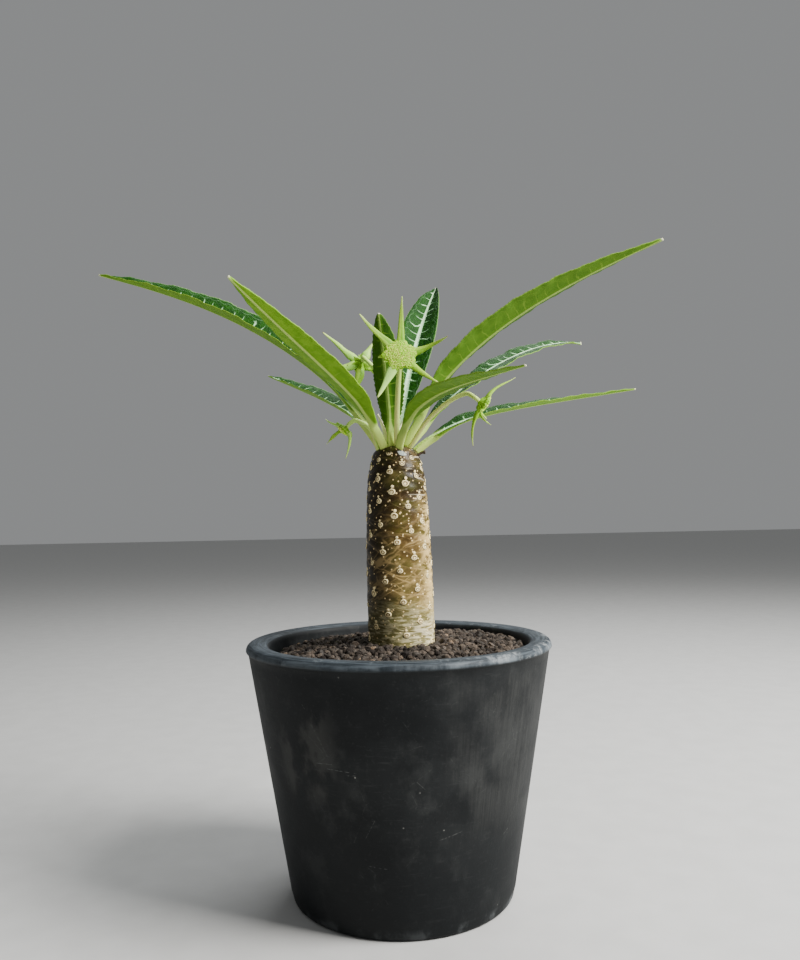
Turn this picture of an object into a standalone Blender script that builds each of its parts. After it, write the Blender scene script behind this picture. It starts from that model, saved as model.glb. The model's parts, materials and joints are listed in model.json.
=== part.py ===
"""Potted dorstenia: a conical black pot with a thick rounded lip, filled with gritty soil, and one
upright succulent stem with a tuft of long channelled leaves and four star-shaped flower heads.

Metres, +Z up. The origin is the centre of the pot's base. The front of the plant faces -Y.
"""

import random
from math import atan2, cos, hypot, log, pi, radians, sin, sqrt

import bmesh
import bpy
import numpy as np
from mathutils import Matrix, Vector
from mathutils.geometry import delaunay_2d_cdt

# Clearance kept between touching pieces
GAP = 0.0003

# Pot
POT_HEIGHT = 0.098
POT_RIM_RADIUS = 0.060
POT_BASE_RADIUS = 0.0431
POT_LIP_WIDTH = 0.0090
POT_LIP_HEIGHT = 0.0030
POT_FLOOR = 0.0080
POT_INNER_FLOOR_RADIUS = 0.0360
POT_CORNER = 0.0020
POT_LIP_STEP = 0.0004
POT_STEPS = 64
DRAIN_COUNT = 5
DRAIN_RADIUS = 0.0045
DRAIN_CIRCLE = 0.0220

# Soil
SOIL_AT_STEM = 0.0972
SOIL_AT_WALL = 0.0928
SOIL_TILT = 0.0016
GRAIN_STEP = 0.0027
GRAIN_HEIGHT = 0.0016
GRAIN_JITTER = 0.2  # of the grain step
GRAIN_ROOM = 0.45  # of the grain step, kept from the pot and the stem
SOIL_FOOT = 0.0030
SOIL_HOLE_SIDES = 24

# Stem: height and radius down its outer side, from the crown to the foot in the soil
STEM_OUTLINE = [
    (0.1744, 0.0012),
    (0.1741, 0.0045),
    (0.1730, 0.0075),
    (0.1705, 0.0093),
    (0.1635, 0.0110),
    (0.1570, 0.0118),
    (0.1400, 0.0126),
    (0.1180, 0.01305),
    (0.0980, 0.0131),
    (0.0720, 0.0128),
    (0.0520, 0.01080),
]
STEM_TOP_X = 0.0002
STEM_SOIL_X = 0.0012
STEM_SIDES = 28
STEM_RINGS = 32
RIDGE_HEIGHT = 0.0003

# Leaf scars: one every turn of the divergence angle, each a little further down
SCAR_TURN = 138.74
SCAR_START_ANGLE = 58.06
SCAR_TOP = 0.17307
SCAR_STEP = 0.000498
SCAR_STEP_GROWTH = 0.0000028
SCAR_RADIUS = 0.00145
SCAR_RISE = 0.00045
SCAR_ROOT = 0.0007
SCAR_SIDES = 5
SCAR_HIGHEST = 0.1695
SCAR_LOWEST = 0.1010

# Leaves
BLADE_THICKNESS = 0.0006
STALK_HALF_WIDTH = 0.00135
STALK_DEPTH = 0.0016
RIB_DEPTH = 0.0009
RING_SPACING = 0.0034
TOOTH = 0.00035
WAVE_LENGTH = 0.019
BLADE_START = 0.15  # share of the length over which the stalk widens into the blade
TIP_HALF_WIDTH = 0.00035

# The nine grown leaves. Angles are degrees: heading from +X, rise above level, fold of each half
# above flat, roll about the rib. A leaf starts at its first rise and settles to its second.
LEAVES = {
    "leaf_far_left": dict(
        root=(-0.0056, 0.0006), heading=176, turn=2, rise=(58, 16), early=1.55, length=0.141,
        width=0.0170, widest=0.47, fold=30, roll=(-26, -20), wave=0.0004),
    "leaf_left_front": dict(
        root=(-0.0039, -0.0046), heading=226, turn=10, rise=(60, 27), early=4.8, length=0.0960,
        width=0.0151, widest=0.32, fold=10, roll=(-13, 13), wave=0.0002),
    "leaf_low_left": dict(
        root=(-0.0046, 0.0044), heading=142, turn=-3, rise=(48, 22), early=3.1, length=0.0793,
        width=0.0156, widest=0.39, fold=19, roll=(8, 6), wave=0.0003),
    "leaf_upright_front": dict(
        root=(-0.0014, -0.0026), heading=254, turn=1, rise=(83, 69), early=2.0, length=0.0521,
        width=0.0147, widest=0.46, fold=32, roll=(-2, -1), wave=0.0002),
    "leaf_upright_back": dict(
        root=(0.0008, 0.0034), heading=68, turn=-4, rise=(68, 47), early=1.0, length=0.0907,
        width=0.0170, widest=0.56, fold=33, roll=(54, 6), wave=0.0004),
    "leaf_far_right": dict(
        root=(0.0040, 0.0006), heading=352, turn=-1, rise=(65, 22), early=1.95, length=0.1319,
        width=0.0164, widest=0.36, fold=22, roll=(-18, -19), wave=0.0003),
    "leaf_right_back": dict(
        root=(0.0046, 0.0046), heading=34, turn=0, rise=(45, -4), early=0.6, length=0.1186,
        width=0.0142, widest=0.43, fold=9, roll=(-3, 27), wave=0.0006),
    "leaf_right_front": dict(
        root=(0.0016, -0.0062), heading=310, turn=1, rise=(75, 4), early=3.8, length=0.0742,
        width=0.0151, widest=0.46, fold=9, roll=(-5, 4), wave=0.0002),
    "leaf_low_right": dict(
        root=(0.0086, 0.0000), heading=10, turn=-9, rise=(42, 8), early=4.3, length=0.0965,
        width=0.0160, widest=0.28, fold=12, roll=(18, 2), wave=0.0003),
}
YOUNG_LEAVES = {
    "young_leaf_tall": dict(
        root=(-0.0031, 0.0009), heading=170, turn=0, rise=(84, 78), early=1.0, length=0.0135,
        width=0.0034, widest=0.42, fold=25, roll=(0, 0), wave=0.0),
    "young_leaf_left": dict(
        root=(-0.0015, -0.0009), heading=185, turn=0, rise=(82, 76), early=1.0, length=0.0090,
        width=0.0024, widest=0.42, fold=25, roll=(0, 0), wave=0.0),
    "young_leaf_right": dict(
        root=(0.0016, -0.0002), heading=340, turn=0, rise=(80, 74), early=1.0, length=0.0100,
        width=0.0032, widest=0.42, fold=25, roll=(0, 0), wave=0.0),
}

# Flower heads: centre of the disc, the way it faces, and the bracts' tips from that centre
DISC_SIDES = 30
DISC_WAIST = 0.86  # of the disc's radius, between two bracts
DISC_CORNER = 1.20  # of the disc's radius, towards a bract
DISC_DOME = 0.0009
DISC_EDGE = 0.0007
FUNNEL_DEPTH = 0.6  # of the disc's radius
FLORET_STEP = 0.0012
FLORET_HEIGHT = 0.00045
BRACT_WIDTH = 0.0022
BRACT_THICKNESS = 0.0009
FLOWERS = {
    "front": dict(
        centre=(0.0028, -0.0200, 0.2075), facing=(0.05, -0.97, 0.20), radius=0.0056,
        bracts=[(0.0011, -0.001, 0.0223), (0.0179, -0.004, 0.0060), (0.0146, -0.006, -0.0122),
                (-0.0089, -0.004, -0.0167), (-0.0152, -0.001, 0.0158), (-0.0085, 0.002, -0.0005)],
        stalk=[(0.0007, -0.0045), (0.0012, -0.0105, 0.1880), (0.0021, -0.0145, 0.2010)],
        stalk_radius=0.0009),
    "back_left": dict(
        centre=(-0.0138, 0.0150, 0.2107), facing=(-0.35, 0.88, -0.30), radius=0.0050,
        bracts=[(-0.0155, -0.003, 0.0132), (0.0053, 0.004, 0.0095), (-0.0150, -0.001, -0.0050),
                (-0.0044, -0.001, -0.0170), (0.0055, 0.004, -0.0040)],
        stalk=[(-0.0020, 0.0028), (-0.0029, 0.0068, 0.1900), (-0.0056, 0.0092, 0.2040)],
        stalk_radius=0.0008),
    "right": dict(
        centre=(0.0342, -0.0190, 0.1880), facing=(0.78, 0.20, -0.58), radius=0.0041,
        bracts=[(0.0126, 0.002, 0.0105), (-0.0047, -0.003, -0.0162), (0.0025, -0.001, -0.0080),
                (0.0020, 0.009, -0.0045)],
        stalk=[(0.0058, -0.0040), (0.0130, -0.0090, 0.1835), (0.0210, -0.0130, 0.1900),
               (0.0275, -0.0165, 0.1926)],
        stalk_radius=0.0008),
    "left": dict(
        centre=(-0.0200, -0.0075, 0.1805), facing=(-0.68, -0.15, -0.72), radius=0.0031,
        bracts=[(-0.0072, 0.000, 0.0047), (-0.0070, 0.002, -0.0052), (0.0006, -0.001, -0.0114),
                (0.0010, 0.006, -0.0015)],
        stalk=[(-0.0066, -0.0028), (-0.0095, -0.0052, 0.1812), (-0.0148, -0.0067, 0.1842)],
        stalk_radius=0.0008),
}


def material(name, colour, roughness, metallic=0.0):
    """A Principled material of one colour."""
    made = bpy.data.materials.new(name)
    made.use_nodes = True
    shader = made.node_tree.nodes["Principled BSDF"]
    shader.inputs["Base Color"].default_value = (*colour, 1.0)
    shader.inputs["Roughness"].default_value = roughness
    shader.inputs["Metallic"].default_value = metallic
    return made


def add_object(name, mesh, finish, collection):
    made = bpy.data.objects.new(name, mesh)
    mesh.materials.append(finish)
    mesh.shade_smooth()
    mesh.set_sharp_from_angle(angle=radians(40))
    collection.objects.link(made)
    return made


def mesh_of(name, points, faces):
    mesh = bpy.data.meshes.new(name)
    mesh.from_pydata([tuple(map(float, p)) for p in points], [], faces)
    mesh.validate()
    return mesh


def smooth_path(points, count):
    """count points along a Catmull-Rom curve through the given ones, evenly by index."""
    given = np.array(points, float)
    padded = np.vstack([2 * given[0] - given[1], given, 2 * given[-1] - given[-2]])
    path = []
    for place in np.linspace(0, len(given) - 1, count):
        i = min(int(place), len(given) - 2)
        t = place - i
        a, b, c, d = padded[i : i + 4]
        path.append(0.5 * (2 * b + (c - a) * t + (2 * a - 5 * b + 4 * c - d) * t**2
                           + (3 * b - a - 3 * c + d) * t**3))
    return np.array(path)


def fuse(target, pieces):
    """Joins a collection of pieces to the target with one Boolean union and removes them."""
    union = target.modifiers.new("fuse", "BOOLEAN")
    union.operation = "UNION"
    union.operand_type = "COLLECTION"
    union.collection = pieces
    union.solver = "MANIFOLD"
    graph = bpy.context.evaluated_depsgraph_get()
    fused = bpy.data.meshes.new_from_object(target.evaluated_get(graph))
    target.modifiers.clear()
    target.data = fused
    for piece in list(pieces.objects):
        bpy.data.objects.remove(piece)
    bpy.data.collections.remove(pieces)


def pieces_collection(name):
    made = bpy.data.collections.new(name)
    bpy.context.scene.collection.children.link(made)
    return made


def rounded(centre, radius, start, end, count):
    """Points on an arc in the profile's plane, angles in degrees from +X."""
    return [(centre[0] + radius * cos(radians(a)), centre[1] + radius * sin(radians(a)))
            for a in np.linspace(start, end, count)]


def pot_wall_radius(height):
    """Outer radius of the conical wall."""
    return POT_BASE_RADIUS + (POT_RIM_RADIUS - POT_BASE_RADIUS) * height / POT_HEIGHT


def pot_inner_radius(height):
    """Inner radius of the conical wall, from the floor to the lip."""
    top = POT_RIM_RADIUS - POT_LIP_WIDTH
    share = (height - POT_FLOOR) / (POT_HEIGHT - POT_LIP_HEIGHT - POT_FLOOR)
    return POT_INNER_FLOOR_RADIUS + (top - POT_INNER_FLOOR_RADIUS) * share


def build_pot(collection, helpers, finish):
    """A turned shell: floor, inner wall, domed lip, outer wall and rounded foot."""
    lip_inner = POT_RIM_RADIUS - POT_LIP_WIDTH
    lip_round = POT_LIP_HEIGHT - POT_LIP_STEP
    shoulder = POT_HEIGHT - POT_LIP_HEIGHT
    inner_corner = POT_FLOOR + POT_CORNER
    profile = [(0, POT_FLOOR), (POT_INNER_FLOOR_RADIUS - POT_CORNER, POT_FLOOR),
               (pot_inner_radius(inner_corner), inner_corner), (lip_inner, shoulder)]
    profile += rounded((lip_inner + lip_round, POT_HEIGHT - lip_round - GAP), lip_round, 150, 90, 2)
    profile += rounded((POT_RIM_RADIUS - lip_round, POT_HEIGHT - lip_round), lip_round, 90, 0, 4)
    profile += [(POT_RIM_RADIUS, shoulder),
                (pot_wall_radius(shoulder) - POT_LIP_STEP, shoulder - 1.5 * POT_LIP_STEP)]
    profile += rounded((POT_BASE_RADIUS - POT_CORNER, POT_CORNER), POT_CORNER, 0, -90, 3)
    profile += [(0, 0)]
    outline = bpy.data.meshes.new("pot_profile")
    outline.from_pydata([(r, 0, z) for r, z in profile], [(i, i + 1) for i in range(len(profile) - 1)], [])
    pot = add_object("pot", outline, finish, collection)
    screw = pot.modifiers.new("turn", "SCREW")
    screw.axis = "Z"
    screw.steps = POT_STEPS
    screw.render_steps = POT_STEPS
    screw.use_merge_vertices = True
    screw.merge_threshold = 0.00001
    for i in range(DRAIN_COUNT):
        angle = 2 * pi * i / DRAIN_COUNT
        bpy.ops.mesh.primitive_cylinder_add(
            vertices=12, radius=DRAIN_RADIUS, depth=3 * POT_FLOOR,
            location=(DRAIN_CIRCLE * cos(angle), DRAIN_CIRCLE * sin(angle), POT_FLOOR / 2))
        drill = bpy.context.active_object
        drill.name = f"drain_drill_{i + 1}"
        drill.display_type = "WIRE"
        drill.hide_render = True
        for owner in list(drill.users_collection):
            owner.objects.unlink(drill)
        helpers.objects.link(drill)
        drain = pot.modifiers.new(f"drain_{i + 1}", "BOOLEAN")
        drain.operation = "DIFFERENCE"
        drain.object = drill


def soil_height(x, y):
    """Top of the soil: heaped round the stem, and a little higher at the right and the back."""
    reach = POT_RIM_RADIUS - POT_LIP_WIDTH
    share = min(hypot(x, y) / reach, 1.0)
    return (SOIL_AT_WALL + (SOIL_AT_STEM - SOIL_AT_WALL) * (1 - share**1.5)
            + SOIL_TILT * (x + 0.7 * y) / reach * share)


def triangles_between(points, inside):
    """Delaunay triangles of flat points, all facing up, kept where inside(centre) holds."""
    flat, _, faces, origin, _, _ = delaunay_2d_cdt([Vector(p) for p in points], [], [], 0, 1e-7)
    order = [o[0] for o in origin]
    kept = []
    for face in faces:
        a, b, c = (flat[i] for i in face)
        if (b - a).cross(c - a) < 0:
            face = face[::-1]
        if inside((a + b + c) / 3):
            kept.append([order[i] for i in face])
    return kept


def build_soil(collection, finish):
    """A plug of soil: its top is granules, every third point of a jittered lattice raised."""
    draw = random.Random(11)
    hole = stem_girth() + GAP
    bottom = POT_FLOOR + GAP
    hole_bottom = STEM_OUTLINE[-1][0] - GAP
    rim = []
    for i in range(POT_STEPS):
        angle = 2 * pi * i / POT_STEPS
        edge = Vector((cos(angle), sin(angle))) * (pot_inner_radius(SOIL_AT_WALL) - GAP)
        rim.append((edge.x, edge.y, soil_height(*edge)))
    rim = [(x * r / hypot(x, y), y * r / hypot(x, y), z)
           for x, y, z in rim for r in [pot_inner_radius(z) - GAP]]
    around = [(STEM_SOIL_X + hole * cos(angle), hole * sin(angle))
              for angle in np.linspace(0, 2 * pi, SOIL_HOLE_SIDES, endpoint=False)]
    points = rim + [(x, y, soil_height(x, y)) for x, y in around]
    row_step = GRAIN_STEP * sqrt(3) / 2
    jitter = GRAIN_JITTER * GRAIN_STEP
    rows = int(POT_RIM_RADIUS / row_step)
    for row in range(-rows, rows + 1):
        for place in range(-rows, rows + 1):
            x = (place + 0.5 * (row % 2)) * GRAIN_STEP + draw.uniform(-jitter, jitter)
            y = row * row_step + draw.uniform(-jitter, jitter)
            lift = draw.uniform(0.5, 1.0) * GRAIN_HEIGHT
            third = (place + (row % 2) * 2 + (row // 2) * 2 + row // 2) % 3 == 0
            from_wall = pot_inner_radius(SOIL_AT_WALL) - GAP - hypot(x, y)
            from_hole = hypot(x - STEM_SOIL_X, y) - hole
            if min(from_wall, from_hole) > GRAIN_ROOM * GRAIN_STEP:
                points.append((x, y, soil_height(x, y) + (lift if third else -0.15 * lift)))
    clear = 0.99 * hole * cos(pi / SOIL_HOLE_SIDES)
    faces = triangles_between(
        [p[:2] for p in points], lambda c: hypot(c.x - STEM_SOIL_X, c.y) > clear)
    lower = len(points)
    for r, z in ((pot_inner_radius(bottom + SOIL_FOOT) - GAP, bottom + SOIL_FOOT),
                 (POT_INNER_FLOOR_RADIUS - SOIL_FOOT, bottom)):
        points += [(r * cos(2 * pi * i / POT_STEPS), r * sin(2 * pi * i / POT_STEPS), z)
                   for i in range(POT_STEPS)]
    well = len(points)
    points += [(x, y, hole_bottom) for x, y in around]
    points += [(0, 0, bottom), (STEM_SOIL_X, 0, hole_bottom)]
    for i in range(POT_STEPS):
        j = (i + 1) % POT_STEPS
        faces += [[i, lower + i, lower + j, j],
                  [lower + i, lower + POT_STEPS + i, lower + POT_STEPS + j, lower + j],
                  [lower + POT_STEPS + i, len(points) - 2, lower + POT_STEPS + j]]
    for i in range(SOIL_HOLE_SIDES):
        j = (i + 1) % SOIL_HOLE_SIDES
        faces += [[POT_STEPS + i, POT_STEPS + j, well + j, well + i], [well + i, well + j, len(points) - 1]]
    add_object("soil", mesh_of("soil", points, faces), finish, collection)


def stem_girth():
    """Largest radius of the stem, with its ridges."""
    return max(r for _, r in STEM_OUTLINE) + RIDGE_HEIGHT


def stem_axis_x(height):
    """The stem leans a little: its axis moves in x from the soil to the crown."""
    share = (height - SOIL_AT_STEM) / (STEM_OUTLINE[0][0] - SOIL_AT_STEM)
    return STEM_SOIL_X + (STEM_TOP_X - STEM_SOIL_X) * max(0.0, share)


def stem_radius(height):
    outline = smooth_path(STEM_OUTLINE, 200)[::-1]
    return float(np.interp(height, outline[:, 0], outline[:, 1]))


def scar_number(height):
    """How many leaf scars lie above this height, as a smooth number."""
    drop = SCAR_TOP - height
    growth = SCAR_STEP_GROWTH
    return (-SCAR_STEP + sqrt(max(0.0, SCAR_STEP**2 + 4 * growth * drop))) / (2 * growth)


def ridge(angle, height):
    """Relief of the spiral ridges, which part the stem into lozenges with a scar in each."""
    if not SCAR_LOWEST - 0.004 < height < SCAR_HIGHEST + 0.002:
        return 0.0
    turns = (angle - radians(SCAR_START_ANGLE)) / (2 * pi)
    number = scar_number(height)
    by_three = 3 * SCAR_TURN / 360 - 1
    by_five = 5 * SCAR_TURN / 360 - 2
    along = 5 * turns - by_five * number
    across = by_three * number - 3 * turns
    return -RIDGE_HEIGHT * (cos(2 * pi * along) + cos(2 * pi * across)) / 2


def build_stem(collection, finish):
    """The ridged stem from its crown to its foot, with the leaf scars fused on as low discs."""
    outline = smooth_path(STEM_OUTLINE, STEM_RINGS)
    points, faces = [], []
    for height, radius in outline:
        for i in range(STEM_SIDES):
            angle = 2 * pi * i / STEM_SIDES
            r = radius + ridge(angle, height)
            points.append((stem_axis_x(height) + r * cos(angle), r * sin(angle), height))
    for ring in range(STEM_RINGS - 1):
        for i in range(STEM_SIDES):
            a = ring * STEM_SIDES + i
            b = ring * STEM_SIDES + (i + 1) % STEM_SIDES
            faces.append([a, a + STEM_SIDES, b + STEM_SIDES, b])
    faces.append(list(range(STEM_SIDES)))
    faces.append(list(range(len(points) - STEM_SIDES, len(points)))[::-1])
    stem = add_object("stem", mesh_of("stem", points, faces), finish, collection)
    scars = pieces_collection("scars")
    number = 0
    height = SCAR_TOP
    while height > SCAR_LOWEST:
        if height < SCAR_HIGHEST:
            scars.objects.link(scar(number, height))
        number += 1
        height = SCAR_TOP - SCAR_STEP * number - SCAR_STEP_GROWTH * number**2
    fuse(stem, scars)


def scar(number, height):
    """One leaf scar: a low disc square to the stem's side, its root sunk in."""
    angle = radians(SCAR_START_ANGLE + SCAR_TURN * number)
    slope = (stem_radius(height - 0.001) - stem_radius(height + 0.001)) / 0.002
    outward = Vector((cos(angle), sin(angle), slope)).normalized()
    surface = stem_radius(height) + ridge(angle, height)
    middle = Vector((stem_axis_x(height) + surface * cos(angle), surface * sin(angle), height))
    disc = bmesh.new()
    bmesh.ops.create_cone(
        disc, cap_ends=True, segments=SCAR_SIDES, radius1=SCAR_RADIUS, radius2=0.8 * SCAR_RADIUS,
        depth=SCAR_RISE + SCAR_ROOT,
        matrix=Matrix.Translation(middle + outward * (SCAR_RISE - SCAR_ROOT) / 2)
        @ outward.to_track_quat("Z", "Y").to_matrix().to_4x4())
    mesh = bpy.data.meshes.new(f"scar_{number}")
    disc.to_mesh(mesh)
    disc.free()
    return bpy.data.objects.new(f"scar_{number}", mesh)


def crown_height(distance):
    """Height of the crown's top at a distance from the stem's axis."""
    outline = smooth_path(STEM_OUTLINE, 200)
    return float(np.interp(distance, outline[:, 1][:120], outline[:, 0][:120]))


def seated(section, along):
    """How far to slide a root section along its stalk so that it just clears the crown."""
    slide = -0.004
    while any(p.z + slide * along.z < 1.2 * GAP + crown_height(
            hypot(p.x + slide * along.x - STEM_TOP_X, p.y + slide * along.y)) for p in section):
        slide += 0.00005
    return along * slide


def leaf_frame(leaf, s):
    """Direction, side and upper normal of a leaf at share s of its length."""
    first, last = leaf["rise"]
    rise = radians(last + (first - last) * (1 - s) ** leaf["early"])
    heading = radians(leaf["heading"] + leaf["turn"] * s)
    roll = radians(leaf["roll"][0] + (leaf["roll"][1] - leaf["roll"][0]) * s)
    ahead = Vector((cos(rise) * cos(heading), cos(rise) * sin(heading), sin(rise)))
    side = Vector((-sin(heading), cos(heading), 0))
    above = ahead.cross(side)
    return ahead, side * cos(roll) + above * sin(roll), above * cos(roll) - side * sin(roll)


def blade_half_width(leaf, s, stalk):
    """Half the blade's width: a long lens that swells from the stalk and ends in a point."""
    t = min(max((s - stalk) / (1 - stalk), 0.0), 1.0)
    swell = sin(pi * t ** (log(0.5) / log(leaf["widest"]))) ** 0.8
    return leaf["width"] / 2 * swell


def build_leaf(name, leaf, collection, finish, stalk=0.10, stalk_half=STALK_HALF_WIDTH):
    """A leaf in one piece: a thick grooved stalk that runs out as the rib of a folded blade."""
    rings = max(6, round(leaf["length"] / RING_SPACING))
    step = leaf["length"] / rings
    scale = stalk_half / STALK_HALF_WIDTH
    place = Vector((*leaf["root"], crown_height(hypot(*leaf["root"])) + GAP + STALK_DEPTH))
    sections = []
    for ring in range(rings + 1):
        s = ring / rings
        _, side, above = leaf_frame(leaf, s)
        spread = blade_half_width(leaf, s, stalk)
        leafy = min(max((s - stalk) / BLADE_START, 0.0), 1.0)
        half = sqrt(spread**2 + stalk_half**2 * (1 - s) + TIP_HALF_WIDTH**2)
        edge = half + (TOOTH * leafy * (1 - s) * (1 if ring % 2 else -0.4))
        fold = radians(leaf["fold"]) * leafy
        skin = BLADE_THICKNESS / cos(fold)
        depth = skin + (STALK_DEPTH * scale - skin) * (1 - leafy) ** 2
        rib = RIB_DEPTH * scale * (1 - s) * (1 - 0.5 * leafy)
        tuck = 1 - 0.3 * (1 - leafy)
        wave = leaf["wave"] * leafy * sin(2 * pi * s * leaf["length"] / WAVE_LENGTH)
        out, up = side * edge * cos(fold), above * edge * sin(fold)
        section = [place + out + up + above * wave, place, place - out + up - above * wave]
        section += [section[2] + out * (1 - tuck) - above * depth, place - above * (depth + rib),
                    section[0] - out * (1 - tuck) - above * depth]
        sections.append(section)
        place = place + leaf_frame(leaf, min(s + 0.5 / rings, 1.0))[0] * step
    shift = seated(sections[0], leaf_frame(leaf, 0)[0])
    points = [p + shift for section in sections for p in section]
    count = len(sections[0])
    faces = []
    for ring in range(rings):
        for i in range(count):
            a = ring * count + i
            b = ring * count + (i + 1) % count
            upper, lower = i < 2, i in (3, 4)
            if upper or not lower:
                faces += [[a, b, b + count], [a, b + count, a + count]]
            else:
                faces += [[a, b, a + count], [b, b + count, a + count]]
    faces.append(list(range(count))[::-1])
    faces.append(list(range(len(points) - count, len(points))))
    add_object(name, mesh_of(name, points, faces), finish, collection)


def bract_frame(facing):
    """Two directions in the plane of a disc, level and up."""
    facing = Vector(facing).normalized()
    level = Vector((0, 0, 1)).cross(facing).normalized()
    return facing, level, facing.cross(level)


def build_head(name, flower, collection, finish):
    """A flower head: a disc with a star-shaped rim, packed with florets, on a short funnel."""
    centre = Vector(flower["centre"])
    facing, level, up = bract_frame(flower["facing"])
    radius = flower["radius"]
    corners = [atan2(Vector(b).dot(up), Vector(b).dot(level)) for b in flower["bracts"]]
    sides = DISC_SIDES

    def rim_radius(angle):
        nearest = min(abs((angle - c + pi) % (2 * pi) - pi) for c in corners)
        return radius * (DISC_WAIST + (DISC_CORNER - DISC_WAIST) * max(0.0, 1 - 2 * nearest))

    def placed(x, y, z):
        return centre + level * x + up * y + facing * z

    rim = [(rim_radius(2 * pi * i / sides) * cos(2 * pi * i / sides),
            rim_radius(2 * pi * i / sides) * sin(2 * pi * i / sides)) for i in range(sides)]
    flat = list(rim)
    heights = [0.0] * sides
    rows = int(2 * radius / FLORET_STEP)
    for row in range(-rows, rows + 1):
        for place in range(-rows, rows + 1):
            x = (place + 0.5 * (row % 2)) * FLORET_STEP
            y = row * FLORET_STEP * sqrt(3) / 2
            room = rim_radius(atan2(y, x)) * 0.93 - hypot(x, y)
            if room > 0.3 * FLORET_STEP:
                third = (place + (row % 2) * 2 + (row // 2) * 3) % 3 == 0
                dome = DISC_DOME * (1 - (hypot(x, y) / radius) ** 2)
                flat.append((x, y))
                heights.append(dome + (FLORET_HEIGHT if third else 0.0))
    faces = triangles_between(flat, lambda c: c.length < rim_radius(atan2(c.y, c.x)))
    points = [placed(x, y, z) for (x, y), z in zip(flat, heights)]
    depth = FUNNEL_DEPTH * radius
    neck = flower["stalk_radius"]
    for share, z in ((1.0, -DISC_EDGE), (0.55, -0.55 * depth), (0.0, -depth)):
        points += [placed(x * share + (1 - share) * neck * cos(2 * pi * i / sides),
                          y * share + (1 - share) * neck * sin(2 * pi * i / sides), z)
                   for i, (x, y) in enumerate(rim)]
    for ring in range(3):
        above = len(flat) + (ring - 1) * sides if ring else 0
        below = len(flat) + ring * sides
        for i in range(sides):
            j = (i + 1) % sides
            faces.append([above + i, below + i, below + j, above + j])
    faces.append(list(range(len(points) - sides, len(points)))[::-1])
    head = add_object(name, mesh_of(name, points, faces), finish, collection)
    bracts = pieces_collection(name + "_bracts")
    for number, tip in enumerate(flower["bracts"]):
        flat_way = Vector(tip) - facing * Vector(tip).dot(facing)
        root = centre + flat_way.normalized() * 0.62 * radius - facing * DISC_EDGE
        bend = root + flat_way.normalized() * 0.55 * Vector(tip).length
        bracts.objects.link(bract(f"{name}_bract_{number}", root, bend, centre + Vector(tip), facing))
    fuse(head, bracts)


def bract(name, root, bend, tip, facing):
    """A pointed bract: a flat lozenge section drawn along a curve to a point."""
    count = 4
    stations = 6
    points = []
    for station in range(stations + 1):
        t = station / stations
        place = root.lerp(bend, t).lerp(bend.lerp(tip, t), t)
        ahead = ((bend - root).lerp(tip - bend, t)).normalized()
        across = ahead.cross(facing).normalized()
        proud = across.cross(ahead)
        taper = (1 - t) ** 0.8 + 0.12
        wide, thick = BRACT_WIDTH / 2 * taper, BRACT_THICKNESS / 2 * taper
        points += [place + across * wide, place + proud * thick, place - across * wide, place - proud * thick]
    faces = [[a, b, b + count, a + count]
             for ring in range(stations) for i in range(count)
             for a, b in [(ring * count + i, ring * count + (i + 1) % count)]]
    faces.append(list(range(count))[::-1])
    faces.append(list(range(len(points) - count, len(points))))
    mesh = mesh_of(name, points, faces)
    checked = bmesh.new()
    checked.from_mesh(mesh)
    bmesh.ops.recalc_face_normals(checked, faces=checked.faces)
    checked.to_mesh(mesh)
    checked.free()
    return bpy.data.objects.new(name, mesh)


def build_stalk(name, flower, collection, finish):
    """A thin round stalk from the crown to the neck of its flower head."""
    facing = Vector(flower["facing"]).normalized()
    neck = Vector(flower["centre"]) - facing * (FUNNEL_DEPTH * flower["radius"] + 1.6 * GAP)
    x, y = flower["stalk"][0]
    first = Vector((x, y, crown_height(hypot(x - STEM_TOP_X, y))))
    rest = [Vector(p) for p in flower["stalk"][1:]]
    way = (rest[0] - first).normalized()
    radius = flower["stalk_radius"] * 1.15
    level = way.orthogonal().normalized()
    root_rim = [first + (level * cos(a) + way.cross(level) * sin(a)) * radius
                for a in np.linspace(0, 2 * pi, 8, endpoint=False)]
    first = first + seated(root_rim, way)
    path = smooth_path([first, first + way * 0.002, *rest, neck - facing * 0.0016, neck], 16)
    curve = bpy.data.curves.new(name, "CURVE")
    curve.dimensions = "3D"
    curve.bevel_depth = flower["stalk_radius"]
    curve.bevel_resolution = 1
    curve.use_fill_caps = True
    spline = curve.splines.new("POLY")
    spline.points.add(len(path) - 1)
    for i, place in enumerate(path):
        spline.points[i].co = (*place, 1)
        spline.points[i].radius = 1.15 - 0.25 * i / (len(path) - 1)
    curve.materials.append(finish)
    collection.objects.link(bpy.data.objects.new(name, curve))


def build_stub(collection, finish):
    """The dry stub of a fallen leaf's stalk, at the right of the crown."""
    ahead = Vector((0.90, -0.12, 0.42)).normalized()
    radius, length, sides = 0.0007, 0.0030, 6
    level = ahead.orthogonal().normalized()
    ring = [level * cos(a) + ahead.cross(level) * sin(a)
            for a in np.linspace(0, 2 * pi, sides, endpoint=False)]
    root = Vector((0.0092, -0.0028, 0.0))
    root.z = crown_height(hypot(root.x - STEM_TOP_X, root.y))
    first = [root + r * radius for r in ring]
    shift = seated(first, ahead) + ahead * GAP
    points = [p + shift for p in first]
    points += [root + shift + ahead * length + r * radius * 1.2 for r in ring]
    faces = [[i, (i + 1) % sides, sides + (i + 1) % sides, sides + i] for i in range(sides)]
    faces += [list(range(sides))[::-1], list(range(sides, 2 * sides))]
    add_object("dry_stub", mesh_of("dry_stub", points, faces), finish, collection)


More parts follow.
